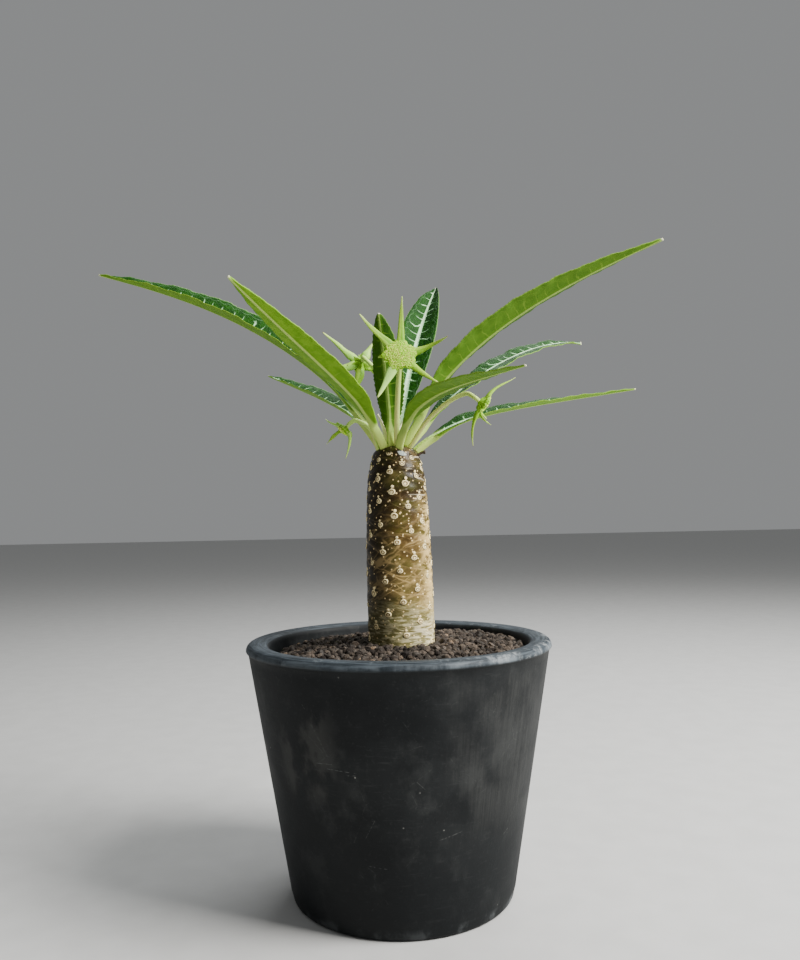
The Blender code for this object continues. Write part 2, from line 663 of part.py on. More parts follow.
for leftover in list(bpy.data.objects):
    bpy.data.objects.remove(leftover)
plant = bpy.data.collections.new("potted_dorstenia")
cutters = bpy.data.collections.new("cutters")
bpy.context.scene.collection.children.link(plant)
bpy.context.scene.collection.children.link(cutters)

pot_black = material("pot_black", (0.017, 0.019, 0.019), 0.55)
soil_brown = material("soil_brown", (0.045, 0.032, 0.026), 0.95)
stem_brown = material("stem_brown", (0.13, 0.075, 0.025), 0.40)
leaf_green = material("leaf_green", (0.055, 0.17, 0.03), 0.40)
young_cream = material("young_cream", (0.62, 0.60, 0.33), 0.50)
floret_green = material("floret_green", (0.42, 0.56, 0.12), 0.55)
stalk_green = material("stalk_green", (0.40, 0.42, 0.15), 0.45)
dry_brown = material("dry_brown", (0.05, 0.035, 0.02), 0.85)

build_pot(plant, cutters, pot_black)
build_soil(plant, soil_brown)
build_stem(plant, stem_brown)
for name, leaf in LEAVES.items():
    build_leaf(name, leaf, plant, leaf_green)
for name, leaf in YOUNG_LEAVES.items():
    build_leaf(name, leaf, plant, young_cream, stalk=0.0, stalk_half=0.0007)
for name, flower in FLOWERS.items():
    build_stalk(f"flower_{name}_stalk", flower, plant, stalk_green)
    build_head(f"flower_{name}_head", flower, plant, floret_green)
build_stub(plant, dry_brown)
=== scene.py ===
"""Looks of the potted dorstenia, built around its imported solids. Metres, +Z up, front towards -Y."""

import json
from math import atan2, cos, hypot, log, pi, radians, sin, sqrt

import bmesh
import bpy
import numpy as np
from mathutils import Matrix, Vector

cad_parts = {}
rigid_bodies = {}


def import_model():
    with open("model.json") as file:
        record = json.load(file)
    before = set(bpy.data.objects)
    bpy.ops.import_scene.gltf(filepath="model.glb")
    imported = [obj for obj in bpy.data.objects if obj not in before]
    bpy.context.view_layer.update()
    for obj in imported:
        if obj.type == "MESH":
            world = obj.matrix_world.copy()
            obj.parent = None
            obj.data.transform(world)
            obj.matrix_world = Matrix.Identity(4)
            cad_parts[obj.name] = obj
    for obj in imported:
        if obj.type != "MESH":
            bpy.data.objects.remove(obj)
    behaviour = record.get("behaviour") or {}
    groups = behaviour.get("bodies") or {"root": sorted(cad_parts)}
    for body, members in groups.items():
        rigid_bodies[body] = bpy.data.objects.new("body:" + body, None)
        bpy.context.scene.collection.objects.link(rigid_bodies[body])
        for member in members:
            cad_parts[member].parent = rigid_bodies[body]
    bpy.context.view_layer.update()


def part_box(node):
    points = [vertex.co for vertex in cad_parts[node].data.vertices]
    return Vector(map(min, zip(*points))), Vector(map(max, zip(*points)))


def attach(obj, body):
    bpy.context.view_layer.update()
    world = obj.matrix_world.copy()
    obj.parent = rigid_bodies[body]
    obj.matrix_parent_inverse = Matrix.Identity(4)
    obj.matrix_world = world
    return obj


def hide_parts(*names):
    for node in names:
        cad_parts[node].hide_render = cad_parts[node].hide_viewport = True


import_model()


# The pot: a cone of matt black clay, turned, with a thick lip and drain holes in its floor. It is
# dusty and scuffed. The lip is blue grey, partly worn and partly painted sheen, with chalky rubs at its
# front right and a painted highlight along its outer edge towards the right.
POT_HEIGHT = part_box("pot")[1][2]
POT_RIM_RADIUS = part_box("pot")[1][0]
POT_BASE_RADIUS = 0.0431
POT_LIP_WIDTH = 0.0090
POT_LIP_HEIGHT = 0.0030
POT_LIP_STEP = 0.0004
POT_LIP_FALL = 0.0003
POT_NECK = 0.0006
POT_CORNER = 0.0020
POT_FLOOR = 0.0080
POT_INNER_FLOOR_RADIUS = 0.0360
POT_FLAT_RINGS = (0.016, 0.028)
POT_FOOT_FLARE = 0.0003
POT_SIDES = 256
AXIS_RADIUS = 0.0004
DRAIN_COUNT = 5
DRAIN_RADIUS = 0.0045
DRAIN_CIRCLE = 0.0220
DRAIN_SIDES = 32
DRILL_AXIS_RADIUS = 0.0001
DRILL_FOOT = -0.004
# Each scratch: the bearing of its middle, its height there, its slope, and its length in radians.
SCRATCHES = [
    (-0.50, 0.0622, 0.002, 0.17), (-0.40, 0.0603, -0.003, 0.24), (-0.33, 0.0590, 0.004, 0.10),
    (-0.62, 0.0812, -0.08, 0.03), (0.34, 0.0370, 0.012, 0.20), (0.86, 0.0330, 0.03, 0.12),
    (0.62, 0.0800, 0.10, 0.04), (-0.18, 0.0270, -0.006, 0.16), (-0.22, 0.0405, 0.09, 0.09),
    (0.12, 0.0560, -0.05, 0.07), (0.95, 0.0700, 0.14, 0.05),
]


def arc(centre, radius, start, end, count):
    """Points on an arc of the profile, angles in degrees from +X."""
    return [(centre[0] + radius * cos(radians(a)), centre[1] + radius * sin(radians(a)))
            for a in np.linspace(start, end, count)]


def pot_inner_radius(height):
    """Inner radius of the pot's wall above its floor."""
    top = POT_RIM_RADIUS - POT_LIP_WIDTH
    share = (height - POT_FLOOR) / (POT_HEIGHT - POT_LIP_HEIGHT - POT_FLOOR)
    return POT_INNER_FLOOR_RADIUS + (top - POT_INNER_FLOOR_RADIUS) * share


def pot_profile():
    """The pot's section: floor, inner wall, lip, outer wall and foot, from axis to axis."""
    lip_inner = POT_RIM_RADIUS - POT_LIP_WIDTH
    lip_middle = (lip_inner + POT_RIM_RADIUS) / 2
    lip_round = POT_LIP_HEIGHT - POT_LIP_STEP
    shoulder = POT_HEIGHT - POT_LIP_HEIGHT
    corner = POT_FLOOR + POT_CORNER
    wall_radius = POT_BASE_RADIUS + (POT_RIM_RADIUS - POT_BASE_RADIUS) * shoulder / POT_HEIGHT
    wall_top = np.array((wall_radius - POT_LIP_STEP, shoulder - POT_NECK))
    wall_foot = np.array((POT_BASE_RADIUS + POT_FOOT_FLARE, POT_CORNER))
    floor_radii = (AXIS_RADIUS, *POT_FLAT_RINGS, POT_INNER_FLOOR_RADIUS - POT_CORNER)
    profile = [(r, POT_FLOOR) for r in floor_radii]
    profile += [(pot_inner_radius(corner), corner)]
    profile += [(pot_inner_radius(z), z) for z in np.linspace(corner + 0.002, shoulder - 0.0012, 12)]
    profile += arc((lip_inner + lip_round, POT_HEIGHT - lip_round - POT_LIP_FALL), lip_round, 178, 96, 8)
    profile += [(lip_middle - 0.0012, POT_HEIGHT - 0.00008), (lip_middle + 0.0006, POT_HEIGHT)]
    profile += arc((POT_RIM_RADIUS - lip_round, POT_HEIGHT - lip_round), lip_round, 88, 0, 9)
    profile += [(POT_RIM_RADIUS - 0.0001, shoulder + 0.0002), (POT_RIM_RADIUS - 0.0004, shoulder - 0.0002)]
    profile += [wall_top]
    profile += [wall_top + (wall_foot - wall_top) * share for share in np.linspace(0.03, 0.97, 26)]
    profile += arc((POT_BASE_RADIUS - POT_CORNER, POT_CORNER), POT_CORNER, 0, -90, 6)
    profile += [(r, 0) for r in (*reversed(POT_FLAT_RINGS), AXIS_RADIUS)]
    return profile


def lofted(name, rings, marks=None, upper_columns=0):
    """A closed skin through rings of equally many points. Marks are vectors kept at its points; the
    first upper_columns faces of each ring take the second material."""
    rings = np.asarray(rings, float)
    rows, columns = rings.shape[:2]
    index = np.arange(rows * columns).reshape(rows, columns)
    following = np.roll(index, -1, axis=1)
    quads = np.stack([index[:-1], following[:-1], following[1:], index[1:]], axis=2).reshape(-1, 4)
    ends = [index[0][::-1].tolist(), index[-1].tolist()]
    mesh = bpy.data.meshes.new(name)
    mesh.from_pydata(rings.reshape(-1, 3), [], quads.tolist() + ends)
    for mark, values in (marks or {}).items():
        kept = mesh.attributes.new(mark, "FLOAT_VECTOR", "POINT")
        kept.data.foreach_set("vector", np.asarray(values, np.float32).reshape(-1))
    if upper_columns:
        slots = np.zeros(len(mesh.polygons), np.int32)
        slots[: len(quads)] = np.tile(np.arange(columns) < upper_columns, rows - 1)
        mesh.polygons.foreach_set("material_index", slots)
    outward = bmesh.new()
    outward.from_mesh(mesh)
    bmesh.ops.recalc_face_normals(outward, faces=outward.faces)
    outward.to_mesh(mesh)
    outward.free()
    mesh.shade_smooth()
    return mesh


def turned(name, profile, sides):
    """A skin turned about the Z axis from (radius, height) points."""
    angles = np.linspace(0, 2 * pi, sides, endpoint=False)
    rings = [np.stack([r * np.cos(angles), r * np.sin(angles), np.full(sides, z)], axis=1)
             for r, z in profile]
    return lofted(name, rings)


def add_piece(name, mesh, finishes, node):
    """Adds a piece that rides with the plant and stands for a solid."""
    piece = bpy.data.objects.new(name, mesh)
    bpy.context.scene.collection.objects.link(piece)
    for finish in finishes:
        mesh.materials.append(finish.material)
    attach(piece, "root")
    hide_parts(node)
    return piece


class Wire:
    """A value on its way through a finish. Arithmetic on it adds Math nodes."""

    def __init__(self, finish, socket):
        self.finish = finish
        self.socket = socket

    def __add__(self, other):
        return self.finish.reckon("ADD", self, other)

    def __radd__(self, other):
        return self.finish.reckon("ADD", other, self)

    def __sub__(self, other):
        return self.finish.reckon("SUBTRACT", self, other)

    def __rsub__(self, other):
        return self.finish.reckon("SUBTRACT", other, self)

    def __mul__(self, other):
        return self.finish.reckon("MULTIPLY", self, other)

    def __rmul__(self, other):
        return self.finish.reckon("MULTIPLY", other, self)

    def __truediv__(self, other):
        return self.finish.reckon("DIVIDE", self, other)

    def __rtruediv__(self, other):
        return self.finish.reckon("DIVIDE", other, self)

    def __pow__(self, other):
        return self.finish.reckon("POWER", self, other)

    def __neg__(self):
        return 0 - self

    def __abs__(self):
        return self.finish.reckon("ABSOLUTE", self)

    def fraction(self):
        return self.finish.reckon("FRACT", self)

    def most(self, other):
        return self.finish.reckon("MAXIMUM", self, other)

    def rise(self, low, high):
        """0 below low, 1 above high, and a smooth step between them."""
        return self.finish.add(
            "MapRange", {"interpolation_type": "SMOOTHSTEP"},
            {"Value": self, "From Min": low, "From Max": high, "To Min": 0.0, "To Max": 1.0})

    def fall(self, low, high):
        """1 below low, 0 above high."""
        return 1 - self.rise(low, high)

    def within(self, start, full, waning, end):
        """Rises from start to full and falls from waning to end."""
        return self.rise(start, full) * self.fall(waning, end)


class Finish:
    """A material whose colours and relief are written as expressions."""

    def __init__(self, name, constants):
        self.material = bpy.data.materials.new(name)
        self.material.use_nodes = True
        self.tree = self.material.node_tree
        self.shader = self.tree.nodes["Principled BSDF"]
        for socket, value in constants.items():
            self.shader.inputs[socket].default_value = value

    def add(self, kind, settings, sockets, output=0):
        """Adds a node: its settings first, then the values or links of its sockets."""
        node = self.tree.nodes.new("ShaderNode" + kind)
        for setting, value in settings.items():
            setattr(node, setting, value)
        for socket, value in sockets.items():
            if isinstance(value, Wire):
                self.tree.links.new(value.socket, node.inputs[socket])
            else:
                node.inputs[socket].default_value = value
        return Wire(self, node.outputs[output])

    def feed(self, socket, wire):
        self.tree.links.new(wire.socket, self.shader.inputs[socket])

    def reckon(self, operation, first, second=0.0):
        """What a Math node makes of one or two values."""
        return self.add("Math", {"operation": operation}, {0: first, 1: second})

    def place(self):
        """The point's place in the object's own coordinates."""
        return self.add("TexCoord", {}, {}, "Object")

    def parts(self, vector):
        """The three numbers of a vector."""
        return [self.add("SeparateXYZ", {}, {0: vector}, part) for part in range(3)]

    def mark(self, name):
        """The three numbers of a mark kept at the mesh's points."""
        return self.parts(self.add("Attribute", {"attribute_name": name}, {}, "Vector"))

    def vector(self, x, y, z):
        return self.add("CombineXYZ", {}, {0: x, 1: y, 2: z})

    def stretched(self, vector, factors):
        return self.add("VectorMath", {"operation": "MULTIPLY"}, {0: vector, 1: factors})

    def noise(self, vector, detail=3.0, roughness=0.5):
        return self.add(
            "TexNoise", {}, {"Vector": vector, "Scale": 1.0, "Detail": detail, "Roughness": roughness})

    def cells(self, vector, feature="DISTANCE_TO_EDGE"):
        return self.add("TexVoronoi", {"feature": feature}, {"Vector": vector, "Scale": 1.0})

    def mix(self, share, first, second):
        """Second over first, as much as share says."""
        colours = [v if isinstance(v, Wire) else (*v, 1.0) for v in (first, second)]
        return self.add("Mix", {"data_type": "RGBA"}, {0: share, 6: colours[0], 7: colours[1]}, 2)

    def coats(self, ground, layers):
        """The ground under layers of colour, each as strong as its share says, last on top."""
        for share, colour in layers:
            ground = self.mix(share, ground, colour)
        return ground

    def relief(self, height, distance):
        """Feeds a bump of this height, distance being the depth of 1 in metres."""
        self.feed("Normal", self.add(
            "Bump", {}, {"Height": height, "Distance": distance, "Strength": 1.0}))


def black_clay():
    """Matt black clay with dust, scratches and specks, and a lip of worn blue grey and painted sheen,
    chalky, with a painted highlight on its outer edge.
    """
    clay = Finish("black clay", {"Roughness": 0.5, "Specular IOR Level": 0.17})
    spot = clay.place()
    x, y, z = clay.parts(spot)
    bearing = clay.reckon("ARCTAN2", x, -y)
    reach = clay.reckon("SQRT", x * x + y * y)
    clouds = clay.noise(clay.stretched(spot, (27, 27, 34)), 9, 0.64)
    stains = clay.noise(clay.stretched(spot, (95, 95, 60)), 6, 0.6)
    strokes = clay.noise(clay.vector(bearing * 7, reach * 40, z * 900), 4, 0.6)
    streaks = clay.noise(clay.vector(bearing * 70, reach * 60, z * 26), 4, 0.6)
    grit = clay.noise(clay.stretched(spot, (900, 900, 900)), 2)
    dusty = bearing.within(0.15, 0.60, 1.0, 1.5) * z.within(0.022, 0.050, 0.086, 0.096)
    dusty = dusty * stains.rise(0.34, 0.56) * (0.55 + 0.45 * streaks.rise(0.42, 0.58))
    pale_side = bearing.within(-1.0, -0.8, -0.55, -0.35) * z.within(0.045, 0.055, 0.072, 0.09)
    hairline = clay.cells(clay.stretched(spot, (70, 70, 70))).fall(0.004, 0.012)
    specks = clay.cells(clay.stretched(spot, (120, 120, 120)), "F1").fall(0.025, 0.050)
    foot_rub = z.fall(0.0022, 0.0052) * stains.rise(0.46, 0.62) * (0.22 + 0.5 * bearing.rise(0.0, 0.8))
    scratches = []
    for turn, height, slope, length in SCRATCHES:
        along = bearing - turn
        drawn = abs(z - height - along * slope).fall(0.00006, 0.00022)
        drawn = drawn * abs(along).fall(length / 3, length / 2)
        scratches.append((drawn * grit.rise(0.40, 0.62) * 0.38, (0.16, 0.165, 0.16)))

    lip = z.rise(POT_HEIGHT - 0.0034, POT_HEIGHT - 0.0020) * reach.rise(0.0562, 0.0570)
    lip = lip.most(z.rise(POT_HEIGHT - 0.0013, POT_HEIGHT - 0.0006) * reach.rise(0.0500, 0.0512))
    rings_round = clay.noise(clay.vector(reach * 1700, bearing * 4, 0.0), 4, 0.65)
    chalk_grain = clay.noise(clay.stretched(spot, (260, 260, 260)), 6, 0.68)
    # Painted highlight: the lip's outer edge, paler in worn patches and brighter towards the right.
    worn_and_lit_edge = reach.rise(0.0588, 0.0600) * stains.rise(0.36, 0.58) * (0.35 + 0.5 * bearing.rise(-0.6, 0.9))
    chalk = reach.rise(0.0555, 0.0590) * bearing.within(0.30, 0.75, 1.6, 2.0)
    # The lip's blue grey is partly worn clay and partly painted sheen.
    lip_grey_and_sheen = clay.mix(rings_round.rise(0.40, 0.66), (0.014, 0.019, 0.024), (0.058, 0.072, 0.086))
    lip_colour = clay.coats(lip_grey_and_sheen, [
        (chalk_grain.rise(0.55, 0.70) * 0.50, (0.14, 0.160, 0.175)),
        (worn_and_lit_edge, (0.16, 0.185, 0.205)),
        (chalk * chalk_grain.rise(0.47, 0.62) * 0.7, (0.27, 0.29, 0.30)),
    ])
    black = clay.mix(clouds.rise(0.36, 0.66), (0.0030, 0.0042, 0.0050), (0.0135, 0.0152, 0.0162))
    clay.feed("Base Color", clay.coats(black, [
        (stains.rise(0.50, 0.66) * clouds.rise(0.42, 0.56) * 0.55, (0.034, 0.036, 0.036)),
        (strokes.rise(0.55, 0.75) * clouds.rise(0.40, 0.60) * 0.35, (0.045, 0.047, 0.047)),
        (dusty * 0.50, (0.042, 0.043, 0.042)),
        (pale_side * stains.rise(0.42, 0.58) * 0.45, (0.060, 0.060, 0.056)),
        *scratches,
        (hairline * stains.rise(0.52, 0.60) * grit.rise(0.4, 0.6) * 0.16, (0.10, 0.105, 0.10)),
        (specks * clouds.rise(0.46, 0.60) * 0.7, (0.30, 0.30, 0.28)),
        (grit.rise(0.56, 0.80) * 0.10, (0.085, 0.088, 0.085)),
        (z.fall(0.010, 0.052) * 0.55, (0.0016, 0.0028, 0.0036)),
        (foot_rub, (0.12, 0.13, 0.135)),
        (lip, lip_colour),
    ]))
    clay.feed("Roughness", 0.50 + 0.20 * clouds.rise(0.3, 0.7) - 0.06 * lip)
    clay.relief(grit * 0.30 + chalk_grain * 0.4 + strokes * 0.35 + stains * 0.3, 0.00012)
    return clay


pot = add_piece("pot_turned", turned("pot", pot_profile(), POT_SIDES), [black_clay()], "pot")
drills = bpy.data.collections.new("drain drills")
drill_profile = [
    (DRILL_AXIS_RADIUS, DRILL_FOOT), (DRAIN_RADIUS, DRILL_FOOT),
    (DRAIN_RADIUS, 2 * POT_FLOOR), (DRILL_AXIS_RADIUS, 2 * POT_FLOOR)]
for number in range(DRAIN_COUNT):
    angle = 2 * pi * number / DRAIN_COUNT
    drill = bpy.data.objects.new("drill", turned("drill", drill_profile, DRAIN_SIDES))
    drill.data.transform(Matrix.Translation((DRAIN_CIRCLE * cos(angle), DRAIN_CIRCLE * sin(angle), 0)))
    drills.objects.link(drill)
drains = pot.modifiers.new("drains", "BOOLEAN")
drains.operation = "DIFFERENCE"
drains.operand_type = "COLLECTION"
drains.collection = drills
drilled = bpy.data.meshes.new_from_object(pot.evaluated_get(bpy.context.evaluated_depsgraph_get()))
pot.modifiers.clear()
pot.data = drilled
for drill in list(drills.objects):
    bpy.data.objects.remove(drill)
bpy.data.collections.remove(drills)


# The soil: loose granules of fired clay and lava, 2 to 3 mm, dark brown with some tan ones, poured
# in over a packed plug. They are heaped a little round the stem and lie below the pot's lip.
GAP = 0.0003
SOIL_AT_STEM = 0.0972
SOIL_AT_WALL = 0.0928
SOIL_REACH = pot_inner_radius(SOIL_AT_WALL) - GAP
SOIL_TILT = 0.0016
SOIL_SINK = 0.0009
GRANULE_STEP = 0.00225
GRANULE_RADIUS = 0.00135
GRANULE_LIFT = 0.0004
STONE_CUTS = 7
STEM_SOIL_RADIUS = 0.0132
STEM_SOIL_X = 0.0012
STEM_FOOT = 0.0520
PLUG_CORNER = 0.0030
PLUG_TOP_DEPTH = 0.006
PLUG_SIDES = 96


def soil_heap(distance):
    """Height of the soil under the granules, heaped round the stem."""
    share = np.minimum(distance / (POT_RIM_RADIUS - POT_LIP_WIDTH), 1.0)
    return SOIL_AT_WALL + (SOIL_AT_STEM - SOIL_AT_WALL) * (1 - share**1.5)


def soil_tilt(x, y):
    """How much higher it stands at the right and back, most at the wall."""
    inner = POT_RIM_RADIUS - POT_LIP_WIDTH
    return SOIL_TILT * (x + 0.7 * y) / inner * np.minimum(np.hypot(x, y) / inner, 1.0)


def pebbles(name, places, sizes, tones, draw):
    """Many small angular stones in one mesh: dented, squashed and turned at random."""
    ball = bmesh.new()
    bmesh.ops.create_icosphere(ball, subdivisions=2, radius=1.0)
    corners = np.array([v.co[:] for v in ball.verts])
    faces = np.array([[v.index for v in f.verts] for f in ball.faces])
    ball.free()
    count = len(places)
    turns = np.linalg.qr(draw.normal(size=(count, 3, 3)))[0]
    squash = draw.uniform(0.72, 1.25, (count, 1, 3))
    cuts = draw.normal(size=(count, STONE_CUTS, 3))
    cuts /= np.linalg.norm(cuts, axis=2, keepdims=True)
    depths = draw.uniform(0.55, 0.95, (count, STONE_CUTS))
    stones = np.repeat(corners[None], count, axis=0)
    for cut in range(STONE_CUTS):
        beyond = np.einsum("nvk,nk->nv", stones, cuts[:, cut]) - depths[:, cut, None]
        stones -= np.maximum(beyond, 0)[..., None] * cuts[:, cut, None]
    stones *= 1 + draw.normal(0, 0.035, stones.shape[:2])[..., None]
    stones = np.einsum("nvk,nkl->nvl", stones * squash * sizes[:, None, None], turns) + places[:, None]
    mesh = bpy.data.meshes.new(name)
    shift = np.arange(count)[:, None, None] * len(corners)
    mesh.from_pydata(stones.reshape(-1, 3), [], (faces[None] + shift).reshape(-1, 3).tolist())
    kept = mesh.attributes.new("tone", "FLOAT_VECTOR", "POINT")
    kept.data.foreach_set("vector", np.repeat(tones, 3 * len(corners)).astype(np.float32))
    return mesh


def poured_granules():
    """The granules, on a jittered triangular net between the pot's wall and the stem."""
    draw = np.random.default_rng(5)
    rows = int(POT_RIM_RADIUS / GRANULE_STEP) + 2
    across, along = np.meshgrid(np.arange(-rows, rows + 1), np.arange(-rows, rows + 1))
    x = (across + 0.5 * (along % 2)) * GRANULE_STEP + draw.uniform(-0.3, 0.3, across.shape) * GRANULE_STEP
    y = along * GRANULE_STEP * sqrt(3) / 2 + draw.uniform(-0.3, 0.3, across.shape) * GRANULE_STEP
    size = GRANULE_RADIUS * draw.uniform(0.70, 1.22, across.shape)
    from_stem = np.hypot(x - STEM_SOIL_X, y)
    lies = (np.hypot(x, y) < SOIL_REACH - size) & (from_stem > STEM_SOIL_RADIUS + 0.5 * size)
    x, y, size = x[lies], y[lies], size[lies]
    lift = draw.uniform(-0.5, 0.45, len(x)) * size + GRANULE_LIFT
    places = np.stack([x, y, soil_heap(np.hypot(x, y)) + soil_tilt(x, y) - SOIL_SINK + lift], axis=1)
    tones = draw.beta(1.7, 2.0, len(x))
    return pebbles("granules", places, size, tones, draw)


def packed_plug():
    """The soil under the granules, down to the pot's floor, with a plain hole for the stem."""
    hole = STEM_SOIL_RADIUS + GAP
    bed = [(AXIS_RADIUS, STEM_FOOT - GAP), (hole, STEM_FOOT - GAP)]
    bed += [(r, soil_heap(r) - SOIL_SINK) for r in np.linspace(hole, SOIL_REACH, 9)]
    bed += [(pot_inner_radius(POT_FLOOR + PLUG_CORNER) - GAP, POT_FLOOR + PLUG_CORNER)]
    bed += [(POT_INNER_FLOOR_RADIUS - PLUG_CORNER, POT_FLOOR + GAP), (AXIS_RADIUS, POT_FLOOR + GAP)]
    mesh = turned("plug", bed, PLUG_SIDES)
    for corner in mesh.vertices:
        if corner.co.z > SOIL_AT_WALL - PLUG_TOP_DEPTH:
            corner.co.z += float(soil_tilt(corner.co.x, corner.co.y))
    return mesh


def gritty_soil():
    """Porous dark brown stones, every one its own tone, a few of them tan."""
    crumbs = Finish("gritty soil", {"Roughness": 0.92, "Specular IOR Level": 0.25})
    tone, _, _ = crumbs.mark("tone")
    spot = crumbs.place()
    pores = crumbs.noise(crumbs.stretched(spot, (1500, 1500, 1500)), 4, 0.7)
    patches = crumbs.noise(crumbs.stretched(spot, (420, 420, 420)), 3)
    brown = crumbs.mix(tone.rise(0.0, 0.55), (0.0125, 0.0086, 0.0068), (0.050, 0.038, 0.029))
    crumbs.feed("Base Color", crumbs.coats(brown, [
        (tone.rise(0.5, 0.86), (0.112, 0.085, 0.064)),
        (tone.rise(0.9, 0.97), (0.30, 0.20, 0.125)),
        (patches.rise(0.45, 0.7) * 0.4, (0.120, 0.110, 0.098)),
        (pores.fall(0.38, 0.54) * 0.75, (0.009, 0.0065, 0.005)),
    ]))
    crumbs.relief(pores, 0.0003)
    return crumbs


soil_finish = gritty_soil()
add_piece("soil_granules", poured_granules(), [soil_finish], "soil")
add_piece("soil_plug", packed_plug(), [soil_finish], "soil")


# The stem: one fleshy upright column, glossy olive brown under a pale cracked skin, darker at its
# young top. Fallen leaves left cream ring scars in a spiral, and small cream dots lie between.
STEM_OUTLINE = [
    (0.1744, 0.0012),
    (0.1741, 0.0045),
    (0.1730, 0.0075),
    (0.1705, 0.0093),
    (0.1635, 0.0110),
    (0.1570, 0.0118),
    (0.1400, 0.0126),
    (0.1180, 0.01305),
    (0.0980, 0.0131),
    (0.0720, 0.0128),
    (0.0520, 0.01080),
]
STEM_TOP_X = 0.0002
STEM_SIDES = 250
STEM_RINGS = 390
BURIED_RINGS = 12
BURIED_FROM = SOIL_AT_STEM - 0.008
SIDE_POINTS = 400
CROWN_POINTS = 240
RIDGE_HEIGHT = 0.0003
SCAR_TURN = 138.74
SCAR_START_ANGLE = 58.06
SCAR_TOP = 0.17307
SCAR_STEP = 0.000498
SCAR_STEP_GROWTH = 0.0000028
SCAR_WIDTH = 0.00125
SCAR_TALL = 0.00107
SCAR_RISE = 0.00042
SCAR_HIGHEST = 0.1712
SMALL_SCARS_ABOVE = 0.166
BUD_LIFT = 0.00185
BUD_RADIUS = 0.00055
BUD_RISE = 0.00026
SKIN_RADIUS_MM = 13
OLD_SKIN_HEIGHT = 0.098
YOUNG_SKIN_HEIGHT = 0.172


def smooth_path(points, count):
    """count points along a Catmull-Rom curve through the given ones, evenly by index."""
    given = np.array(points, float)
    padded = np.vstack([2 * given[0] - given[1], given, 2 * given[-1] - given[-2]])
    path = []
    for place in np.linspace(0, len(given) - 1, count):
        i = min(int(place), len(given) - 2)
        t = place - i
        a, b, c, d = padded[i : i + 4]
        path.append(0.5 * (2 * b + (c - a) * t + (2 * a - 5 * b + 4 * c - d) * t**2
                           + (3 * b - a - 3 * c + d) * t**3))
    return np.array(path)


stem_side = smooth_path(STEM_OUTLINE, SIDE_POINTS)


def stem_axis_x(height):
    """The stem leans a little: its axis moves in x from the soil to the crown."""
    share = (height - SOIL_AT_STEM) / (STEM_OUTLINE[0][0] - SOIL_AT_STEM)
    return STEM_SOIL_X + (STEM_TOP_X - STEM_SOIL_X) * np.maximum(0.0, share)


def crown_height(distance):
    """Height of the crown's top at a distance from the stem's axis."""
    return float(np.interp(distance, stem_side[:CROWN_POINTS, 1], stem_side[:CROWN_POINTS, 0]))


def step_up(values, low, high):
    """0 below low, 1 above high, and a smooth step between them."""
    share = np.clip((values - low) / (high - low), 0, 1)
    return share * share * (3 - 2 * share)


def wander(theta, height, seed, coarse, fine):
    """A smooth random field round the stem, between about -1 and 1."""
    draw = np.random.default_rng(seed)
    field = np.zeros_like(height)
    for _ in range(14):
        waves = draw.integers(-coarse, coarse + 1)
        rate = draw.uniform(-fine, fine)
        field += np.sin(waves * theta + rate * height + draw.uniform(0, 2 * pi)) / 3.7
    return field


def stem_rows():
    """Heights and radii of the stem's rings, evenly along its side and few in the soil."""
    outline = smooth_path(STEM_OUTLINE, 10 * SIDE_POINTS)
    run = np.concatenate([[0], np.cumsum(np.hypot(*np.diff(outline, axis=0).T))])
    buried = np.interp(BURIED_FROM, outline[::-1, 0], run[::-1])
    stations = np.concatenate([
        np.linspace(0, buried, STEM_RINGS - BURIED_RINGS),
        np.linspace(buried, run[-1], BURIED_RINGS + 1)[1:]])
    return np.interp(stations, run, outline[:, 0]), np.interp(stations, run, outline[:, 1])


